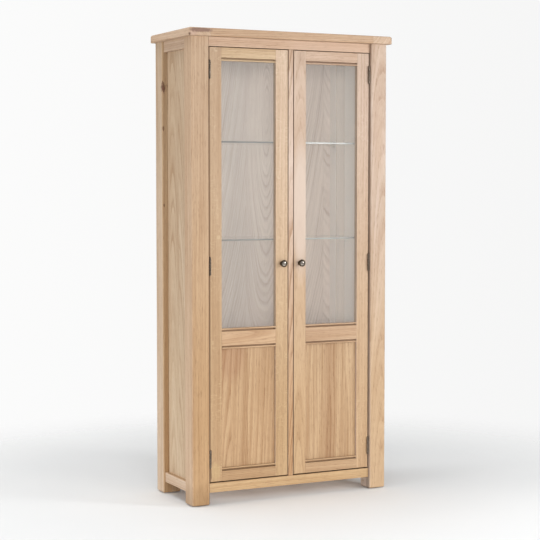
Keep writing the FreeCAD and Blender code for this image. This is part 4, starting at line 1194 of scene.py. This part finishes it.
@dataclass
class Carcass:
    """The top board, the legs, and the rails and panels between them."""

    tenon: float = 0.022
    stub: float = 0.010
    stave: float = 0.085
    top_stave: float = 0.105
    top_tongue: float = 0.012
    leaf: float = 0.188
    leaf_start: float = -0.040
    inner_leg: float = 0.030

    def boards(self) -> dict[str, Board]:
        """Every oak board of the carcass by its node.

        Returns:
            How each was cut and how it lies.
        """
        return {**self.top_boards(), **self.posts(), **self.rails(), **self.side_panels()}

    def top_boards(self) -> dict[str, Board]:
        """The top board and its cleats, with bark and a nick at the front left corner."""
        top = partial(Board, face=Axis.Z)
        bark = Mark((-0.412, -0.205, 1.8895), (0.062, 0.030, 0.011), (118, 90, 78), 0.85, 1.0, (142, 112, 98))
        bloom = Mark((-0.448, -0.210, 1.880), (0.028, 0.016, 0.022), (184, 154, 138), 0.55, 0.8)
        nick = Mark((-0.459, -0.203, 1.873), (0.006, 0.010, 0.007), (84, 58, 44), raggedness=1.2)
        return {
            "top_panel": top(
                Axis.X, figure=Figure.CROWN, seed=3, tint=(1.12, 1.09, 1.02), stave=self.top_stave,
                shoulder=self.top_tongue, marks=(bark,),
            ),
            "left_top_cleat": top(
                Axis.Y, seed=5, tint=(1.05, 1.03, 0.98), figure_strength=0.6, marks=(bloom, bark, nick),
            ),
            "right_top_cleat": top(Axis.Y, seed=8, tint=(1.12, 1.13, 1.12), figure_strength=0.5),
        }

    def posts(self) -> dict[str, Board]:
        """The four legs and the mullion between the doors."""
        post = partial(Board, Axis.Z, Axis.Y)
        knot = Mark((-0.442, 0.114, 1.682), (0.017, 0.015, 0.026), (92, 62, 50), 0.95, 2.2, (128, 92, 80))
        pin = Mark((-0.440, 0.114, 1.515), (0.005, 0.006, 0.013), (96, 66, 48))
        second_pin = replace(pin, centre=(-0.438, 0.114, 1.200), reach=(0.004, 0.006, 0.009))
        hole = Mark((0.368, -0.154, 0.060), (0.006, 0.0095, 0.0075), (30, 18, 10), 0.95, 0.0)
        # Painted shade: the front left leg darker at its foot, along its bottom edge.
        stain = Wash((-0.406, -0.147, 0.010), (0.080, 0.080, 0.110), (0.80, 0.78, 0.74))
        # Painted shade: a warmer, darker strip on the rear left leg's front face, in the recess beside the
        # side panel.
        gold = Wash((-0.432, 0.114, 0.900), (0.030, 0.010, 3.000), (1.0, 0.94, 0.82), raggedness=0.2)
        # Painted shade: the rear left leg darker towards its top.
        dim = Wash((-0.444, 0.150, 1.780), (0.040, 0.100, 0.620), (0.93, 0.93, 0.92))
        # Painted shade darkens the front right leg towards its top; a painted sheen lightens it about its
        # middle.
        crest = Wash((0.406, -0.185, 1.800), (0.040, 0.100, 0.620), (0.955, 0.90, 0.84))
        waist = Wash((0.406, -0.185, 0.960), (0.040, 0.100, 0.450), (1.04, 1.07, 1.12))
        # Painted shade at the mullion's top, under the frieze rail.
        eaves = Wash((0.0, -0.174, 1.800), (0.060, 0.060, 0.420), (0.86, 0.80, 0.73))
        brow = replace(eaves, centre=(0.0, -0.174, 1.840), reach=(0.060, 0.060, 0.120))
        # Painted shade on the legs' faces beside the doors, near the front.
        reveal = Gap((1.0, 0.0, 0.0), mouth=self.inner_leg)
        return {
            "front_left_leg": post(
                Figure.RIFT, 11, (1.04, 1.02, 0.95), (0.94, 0.83, 0.64), gap=reveal, marks=(stain,),
            ),
            "front_right_leg": post(
                Figure.CROWN, 17, (1.12, 1.22, 1.38), (0.935, 0.81, 0.595), waver=0.012,
                figure_strength=0.6, gap=replace(reveal, toward=(-1.0, 0.0, 0.0), strength=0.42),
                marks=(hole, crest, waist),
            ),
            # Painted shade on the rear left leg's front face beside the side panel, and paler painted light
            # on its faces inside the cabinet.
            "rear_left_leg": post(
                Figure.RIFT, 23, (1.05, 1.09, 1.07), gap=Gap((0.0, -1.0, 0.0), mouth=0.020, strength=0.26),
                inside=(1.0, -1.0, 0.0), marks=(knot, pin, second_pin, gold, dim),
            ),
            "rear_right_leg": post(
                Figure.RIFT, 29, (1.04, 1.05, 1.04), inside=(-1.0, -0.72, 0.0), inside_share=0.75,
            ),
            "centre_mullion": post(
                Figure.CROWN, 41, (1.37, 1.54, 1.83), (0.73, 0.55, 0.345), shoulder=self.stub, waver=0.018,
                figure_strength=1.7, gap=Gap((1.0, 0.0, 0.0), both=True), marks=(eaves, brow),
            ),
        }

    def rails(self) -> dict[str, Board]:
        """The rails between the legs, all round."""
        rail = partial(Board, Axis.X, Axis.Y, Figure.RIFT, shoulder=self.tenon)
        side = partial(Board, Axis.Y, Axis.X, Figure.RIFT, shoulder=self.tenon)
        blush = Mark((0.180, -0.174, 1.850), (0.260, 0.030, 0.060), (205, 178, 158), 0.4, 0.1)
        # Painted shade on the frieze rail's underside and the bottom rail's top, in the gaps over and under
        # the doors.
        head = Gap((0.0, 0.0, -1.0))
        sill = Gap((0.0, 0.0, 1.0))
        return {
            "frieze_rail": rail(31, (1.12, 1.08, 1.05), gap=head, marks=(blush,)),
            "front_bottom_rail": rail(37, (1.08, 1.12, 1.00), gap=sill),
            "left_side_top_rail": side(43, (1.0, 1.0, 0.98)),
            "right_side_top_rail": side(47),
            "left_side_bottom_rail": side(53, (1.02, 1.04, 1.02)),
            "right_side_bottom_rail": side(59),
            "rear_top_rail": rail(71),
            "rear_bottom_rail": rail(73),
        }

    def side_panels(self) -> dict[str, Board]:
        """The tall panels of the side frames."""
        panel = partial(Board, Axis.Z, Axis.X, Figure.CROWN, stave=self.stave)
        bruise = Mark((-0.421, -0.096, 0.410), (0.012, 0.012, 0.065), (146, 134, 120), 0.45, 1.0)
        # Painted light: the left side panel paler low down, standing in for light thrown up from the floor.
        glow = Wash((-0.421, 0.000, 0.180), (0.060, 0.300, 0.620), (1.07, 1.10, 1.11))
        left, right = (1.0, 0.0, 0.0), (-1.0, 0.0, 0.0)
        return {
            "left_side_panel": panel(61, (1.04, 1.09, 1.04), inside=left, marks=(bruise, glow)),
            "right_side_panel": panel(67, (1.04, 1.06, 1.04), inside=right, inside_share=0.96),
        }

    def dress(self) -> None:
        """Puts their finish on the carcass's boards and its back."""
        for node, board in self.boards().items():
            dress_board(OAK, node, board)
        # Painted shade on the back panel: darker over its left half, and more so low down.
        shade = Wash((-0.300, 0.168, 1.100), (0.400, 0.100, 3.000), (0.69, 0.70, 0.71), raggedness=0.05)
        dusk = Wash((-0.140, 0.168, 0.700), (0.300, 0.100, 0.600), (0.90, 0.89, 0.88), raggedness=0.05)
        back = Board(
            Axis.Z, Axis.Y, Figure.LEAF, 245, (1.12, 1.11, 1.10), (1.0, 0.97, 0.93), stave=self.leaf,
            waver=0.012, stave_start=self.leaf_start, stave_spread=0.2, figure_strength=0.8,
            marks=(shade, dusk), inside=(0.0, 1.0, 0.0), inside_share=0.6,
        )
        dress_board(VENEER, "back_panel", back)
        dress("foot_glides", GLIDE_PLASTIC.material())
        dress_board(INNER_WOOD, "top_fixing_blocks", Board(Axis.X, Axis.Y, Figure.RIFT, 83))


@dataclass
class Shelving:
    """The boards and glass inside, with what carries them."""

    stave: float = 0.070
    cut_edge: float = 0.0012
    pencil_depth: float = 0.0014
    pencil_inset: float = 0.0010
    pencil_steps: int = 8

    def pencil_edge(self, node: str, material: bpy.types.Material) -> bpy.types.Object:
        """The half-round polished edge along a glass shelf's front.

        Args:
            node: The shelf's CAD node.
            material: What the edge wears.

        Returns:
            The edge, riding with the shelf.
        """
        low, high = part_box(node)
        middle = (low.z + high.z) / 2
        half = (high.z - low.z) / 2
        mesh = bmesh.new()
        rows = []
        for x in (low.x + self.pencil_inset, high.x - self.pencil_inset):
            row = []
            for step in range(self.pencil_steps + 1):
                angle = math.pi * (step / self.pencil_steps - 0.5)
                y = low.y - self.pencil_depth * math.cos(angle)
                row.append(mesh.verts.new((x, y, middle + half * math.sin(angle))))
            rows.append(row)
        for step in range(self.pencil_steps):
            mesh.faces.new((rows[0][step], rows[1][step], rows[1][step + 1], rows[0][step + 1]))
        mesh.faces.new((rows[0][0], rows[0][-1], rows[1][-1], rows[1][0]))
        for row in rows:
            mesh.faces.new(row)
        bmesh.ops.recalc_face_normals(mesh, faces=mesh.faces)
        edge = piece_from(mesh, f"{node}_polished_edge", material)
        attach(edge, "root")
        return edge

    def dress(self) -> None:
        """Puts their finish on the boards, the glass, the battens and the supports."""
        flat = partial(Board, Axis.X, Axis.Z, Figure.RIFT, stave=self.stave)
        for seed, node in enumerate(("bottom_board", "fixed_shelf", "lower_shelf"), start=91):
            dress_board(OAK, node, flat(seed, (1.16, 1.14, 1.12), WHITE))
        for node, finish in (("lower_glass_shelf", LOWER_EDGE), ("upper_glass_shelf", UPPER_EDGE)):
            dress(node, SHELF_GLASS.material(node, Axis.Y, self.cut_edge))
            self.pencil_edge(node, finish.material())
        dress_board(INNER_WOOD, "shelf_battens", Board(Axis.Y, Axis.Z, Figure.RIFT, 97))
        dress("shelf_supports", SATIN_NICKEL.material(1.0))


@dataclass
class TurnedKnob:
    """A turned pewter knob: a foot, a waist, a rim and a dome inside a sunk ring.

    Its profile is given from the foot to the dome, as shares of the radius and of the depth.
    """

    turns: int = 64
    profile_shares: tuple[tuple[float, float], ...] = (
        (0.000, 0.00), (0.600, 0.00), (0.633, 0.02), (0.633, 0.07), (0.600, 0.10), (0.480, 0.115),
        (0.430, 0.13), (0.400, 0.17), (0.320, 0.28), (0.295, 0.38), (0.310, 0.46), (0.400, 0.545),
        (0.560, 0.600), (0.780, 0.625), (0.900, 0.645), (0.975, 0.690), (1.000, 0.750), (0.975, 0.815),
        (0.905, 0.865), (0.835, 0.880), (0.790, 0.868), (0.765, 0.838), (0.730, 0.828), (0.690, 0.842),
        (0.655, 0.880), (0.560, 0.925), (0.420, 0.962), (0.260, 0.985), (0.120, 0.996), (0.000, 1.000),
    )

    def build(self, side: str, material: bpy.types.Material) -> bpy.types.Object:
        """Turns one knob where its CAD node is.

        Args:
            side: The door's name, left or right.
            material: What the knob wears.

        Returns:
            The knob, riding on its door.
        """
        node = f"{side}_door_knob"
        low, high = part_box(node)
        centre = (low + high) / 2
        radius = (high.x - low.x) / 2
        depth = high.y - low.y
        mesh = bmesh.new()
        previous = None
        for share, reach in self.profile_shares:
            ring = []
            for turn in range(self.turns if share else 1):
                angle = math.tau * turn / self.turns
                x = centre.x + radius * share * math.cos(angle)
                z = centre.z + radius * share * math.sin(angle)
                ring.append(mesh.verts.new((x, high.y - depth * reach, z)))
            if previous:
                self.bridge(mesh, previous, ring)
            previous = ring
        bmesh.ops.recalc_face_normals(mesh, faces=mesh.faces)
        knob = piece_from(mesh, f"{side}_turned_knob", material)
        shade = knob.modifiers.new("Round", "SUBSURF")
        shade.levels = shade.render_levels = 1
        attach(knob, f"{side}_door")
        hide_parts(node)
        return knob

    def bridge(self, mesh: bmesh.types.BMesh, inner: list, outer: list) -> None:
        """Joins two rings of points with faces; either may be a single point.

        Args:
            mesh: The mesh under construction.
            inner: The points of one ring.
            outer: The points of the next one.
        """
        for turn in range(self.turns):
            after = (turn + 1) % self.turns
            if len(inner) == 1:
                mesh.faces.new((inner[0], outer[turn], outer[after]))
            elif len(outer) == 1:
                mesh.faces.new((inner[turn], inner[after], outer[0]))
            else:
                mesh.faces.new((inner[turn], inner[after], outer[after], outer[turn]))


@dataclass
class Door:
    """One framed door: glass above, a panel below, its hinges and its knob."""

    side: str
    tenon: float = 0.022
    stave: float = 0.075
    quirk: float = 0.005
    pane_edge: float = 0.004

    def node(self, part: str) -> str:
        """The name of one of the door's CAD nodes."""
        return f"{self.side}_door_{part}"

    def boards(self) -> dict[str, Board]:
        """Every oak board of the door by its node.

        Returns:
            How each was cut and how it lies.
        """
        stile = partial(Board, Axis.Z, Axis.Y)
        rail = partial(Board, Axis.X, Axis.Y, shoulder=self.tenon, quirk=self.quirk)
        panel = partial(Board, Axis.Z, Axis.Y, Figure.FLAME, stave=self.stave, waver=0.013)
        cut = self.left_boards if self.side == "left" else self.right_boards
        return {self.node(part): board for part, board in cut(stile, rail, panel).items()}

    def left_boards(self, stile: partial, rail: partial, panel: partial) -> dict[str, Board]:
        """The left door's boards: quarter-sawn stiles, with a mend at the foot of the outer one."""
        mend = Mark((-0.338, -0.174, 0.133), (0.024, 0.030, 0.044), (190, 162, 118), 0.45, 0.15)
        crack = Mark((-0.360, -0.174, 0.125), (0.006, 0.030, 0.030), (100, 74, 52), 0.6, 1.2)
        plum = Wash((-0.270, -0.164, 0.600), (0.090, 0.040, 0.130), (0.92, 0.86, 0.86), raggedness=0.3)
        # Painted shadow line on the hinge stile's face along its outer edge, beside the leg, and painted
        # shade on that edge.
        line = Gap((-1.0, 0.0, 0.0), mouth=0.008, rim=0.0055, strength=0.7)
        return {
            "hinge_stile": stile(
                Figure.QUARTER, 101, (1.0, 0.98, 0.90), (0.95, 0.87, 0.72), marks=(mend, crack), gap=line,
            ),
            "meeting_stile": stile(
                Figure.QUARTER, 102, (1.18, 1.21, 1.21), (0.85, 0.76, 0.57), fleck_strength=0.6,
            ),
            "top_rail": rail(Figure.RIFT, 104, (1.15, 1.16, 1.02)),
            "mid_rail": rail(Figure.CROWN, 106, (1.11, 1.12, 1.09)),
            "bottom_rail": rail(Figure.RIFT, 108, (0.94, 0.94, 0.86)),
            "panel": panel(110, (1.01, 1.02, 0.95), marks=(plum,)),
            "glazing_beads": stile(Figure.RIFT, 112),
        }

    def right_boards(self, stile: partial, rail: partial, panel: partial) -> dict[str, Board]:
        """The right door's boards, pinker than the left's, with a painted sheen on the meeting stile."""
        # Painted sheen: a pale patch over the meeting stile's middle height.
        flame = Mark((0.048, -0.174, 1.190), (0.050, 0.030, 0.330), (204, 187, 174), 0.7, 0.12)
        heart = Wash((0.190, -0.164, 0.400), (0.034, 0.040, 0.600), (0.87, 0.82, 0.79), raggedness=0.2)
        # Painted shade on the meeting stile's side face, in the gap by the mullion.
        line = Gap((-1.0, 0.0, 0.0), mouth=0.007, strength=0.6)
        return {
            "hinge_stile": stile(
                Figure.QUARTER, 151, (1.11, 1.16, 1.26), (0.96, 0.86, 0.65), fleck_strength=0.6,
            ),
            "meeting_stile": stile(
                Figure.CROWN, 152, (1.11, 1.15, 1.22), (0.95, 0.85, 0.63), figure_strength=0.6,
                marks=(flame,), gap=line,
            ),
            "top_rail": rail(Figure.RIFT, 154, (1.14, 1.15, 1.20)),
            "mid_rail": rail(Figure.RIFT, 156, (1.02, 1.04, 1.06)),
            "bottom_rail": rail(Figure.RIFT, 158, (0.98, 1.0, 0.97)),
            "panel": panel(160, (1.05, 1.10, 1.07), marks=(heart,)),
            "glazing_beads": stile(Figure.RIFT, 162),
        }

    def dress(self, knob: TurnedKnob) -> None:
        """Puts their finish on the door's pieces and turns its knob.

        Args:
            knob: The pattern of the knob.
        """
        for node, board in self.boards().items():
            dress_board(OAK, node, board)
        dress(self.node("glass"), PANE.material(self.node("glass"), Axis.X, self.pane_edge))
        hinge = replace(ANTIQUE_BRONZE, name=f"antique_bronze_{self.side}").material(2.0)
        dress(f"{self.side}_hinge_door_leaves", hinge)
        dress(f"{self.side}_hinge_pins", hinge)
        dress(f"{self.side}_strike_plate", NICKEL.material(3.0))
        dress(self.node("screws"), SCREW_STEEL.material(4.0))
        dress(self.node("knob_screw"), SCREW_STEEL.material(5.0))
        pewter = replace(PEWTER, name=f"antique_pewter_{self.side}").material(6.0, self.node("knob"))
        knob.build(self.side, pewter)


@dataclass
class FixedIronmongery:
    """The metal that stays on the frame."""

    def dress(self) -> None:
        """Puts their finish on the frame's hinge leaves, screws and catches."""
        dress("hinge_frame_leaves", ANTIQUE_BRONZE.material(7.0))
        dress("frame_screws", SCREW_STEEL.material(8.0))
        dress("top_fixing_screws", SCREW_STEEL.material(9.0))
        dress("magnetic_catches", CATCH_PLASTIC.material(1.0))


@dataclass(frozen=True)
class Lamp:
    """A square soft light of a size in metres and a power in watts. Glass and metal show it if mirrored."""

    name: str
    place: Triple
    target: Triple
    size: float
    power: float
    colour: Colour = WHITE
    mirrored: bool = False

    def hang(self) -> None:
        """Hangs the light at its place, turned to its target and hidden from the camera."""
        data = bpy.data.lights.new(self.name, "AREA")
        data.size = self.size
        data.energy = self.power
        data.color = self.colour
        light = bpy.data.objects.new(self.name, data)
        light.location = self.place
        aim = Vector(self.target) - Vector(self.place)
        light.rotation_euler = aim.to_track_quat("-Z", "Y").to_euler()
        light.visible_camera = False
        light.visible_glossy = self.mirrored
        light.visible_transmission = self.mirrored
        bpy.context.scene.collection.objects.link(light)


@dataclass
class Studio:
    """A pale floor that fades into a pale room, soft lights and the camera."""

    lens: float = 99.72
    eye: Triple = (-2.7957, -5.5974, 1.2976)
    turn: float = 26.475
    dip: float = 3.386
    room: float = 0.42
    backdrop: float = 0.945
    backdrop_slope: float = 0.12
    backdrop_blue: float = 0.998
    floor_radius: float = 14.0
    floor_sides: int = 96
    floor_roughness: float = 0.7
    floor_shine: float = 0.2
    floor_tones: tuple[Triple, Triple] = ((232, 234, 235), (239, 240, 240))
    floor_waves: Triple = (1.5, 1.5, 1.0)
    fade: tuple[float, float] = (0.8, 2.3)
    lamps: tuple[Lamp, ...] = (
        Lamp("key", (0.95, -4.2, 1.7), (0.0, -0.1, 1.0), 0.8, 20.0),
        Lamp("near_right", (2.15, -2.3, 1.3), (0.2, -0.1, 0.95), 0.6, 19.0),
        Lamp("sparkle", (2.15, -2.3, 1.95), (0.1, -0.1, 0.90), 0.6, 20.0, mirrored=True),
        Lamp("front_fill", (-2.1, -4.9, 1.45), (0.0, -0.1, 1.0), 2.2, 124.0),
        Lamp("low_left", (-4.2, 0.6, 0.55), (-0.4, 0.0, 0.3), 1.4, 92.0),
        Lamp("rear", (0.0, 4.6, 1.8), (0.0, 0.0, 0.9), 2.2, 26.0),
        Lamp("low_front", (0.3, -3.8, 0.3), (0.1, 0.0, 0.1), 0.6, 20.0),
        *(
            Lamp("under_fill", (x, -0.02, 0.047), (x, -0.02, 0.0), 0.22, 0.031, (1.0, 0.86, 0.76))
            for x in (-0.24, 0.0, 0.24)
        ),
        Lamp("top", (-1.2, 0.1, 4.8), (-0.3, -0.2, 0.0), 2.6, 75.0),
    )

    def build(self) -> None:
        """Makes the room, the floor, the lights and the camera."""
        self.make_room()
        self.make_floor()
        for lamp in self.lamps:
            lamp.hang()
        self.make_camera()

    def make_room(self) -> None:
        """A plain world: one brightness behind the cabinet, another that lights it."""
        world = bpy.data.worlds.new("room")
        world.use_nodes = True
        bpy.context.scene.world = world
        graph = Graph(world.node_tree)
        graph.tree.nodes.clear()
        across, away, _ = graph.here("Generated").parts()
        side = math.radians(self.turn)
        leftness = away * math.sin(side) - across * math.cos(side)
        shade = leftness * self.backdrop_slope + self.backdrop
        tone = graph.join(shade, shade, shade * self.backdrop_blue)
        backdrop = graph.add("ShaderNodeBackground", tone)
        light = graph.add("ShaderNodeBackground", (self.room,) * 3)
        seen = Term(graph, graph.add("ShaderNodeLightPath").outputs["Is Camera Ray"])
        graph.choose(seen, light, backdrop, output=graph.add("ShaderNodeOutputWorld"))

    def make_floor(self) -> None:
        """A round pale floor that fades out into the room."""
        mesh = bmesh.new()
        bmesh.ops.create_circle(mesh, cap_ends=True, segments=self.floor_sides, radius=self.floor_radius)
        material = new_material("pale_floor")
        floor = piece_from(mesh, "studio_floor", material)
        graph = Graph(material.node_tree)
        place = graph.here()
        dark, light = (screen(*tone) for tone in self.floor_tones)
        graph.principled(
            Base_Color=graph.mix(graph.noise(place, self.floor_waves, 1.0), dark, light),
            Alpha=place.length().fall(*self.fade),
            Roughness=self.floor_roughness, Specular_IOR_Level=self.floor_shine,
        )

    def make_camera(self) -> None:
        """The camera at the photograph's angle."""
        data = bpy.data.cameras.new("camera")
        data.lens = self.lens
        camera = bpy.data.objects.new("camera", data)
        camera.location = self.eye
        camera.rotation_euler = (math.radians(90 - self.dip), 0.0, math.radians(-self.turn))
        bpy.context.scene.collection.objects.link(camera)
        bpy.context.scene.camera = camera
        bpy.context.scene.view_settings.view_transform = "Standard"


def main() -> None:
    """Builds the studio and dresses the cabinet, one sub-assembly after another."""
    logging.basicConfig(level=logging.INFO, format="%(message)s")
    Studio().build()
    Carcass().dress()
    Shelving().dress()
    FixedIronmongery().dress()
    knob = TurnedKnob()
    for side in ("left", "right"):
        Door(side).dress(knob)


if __name__ == "__main__":
    main()
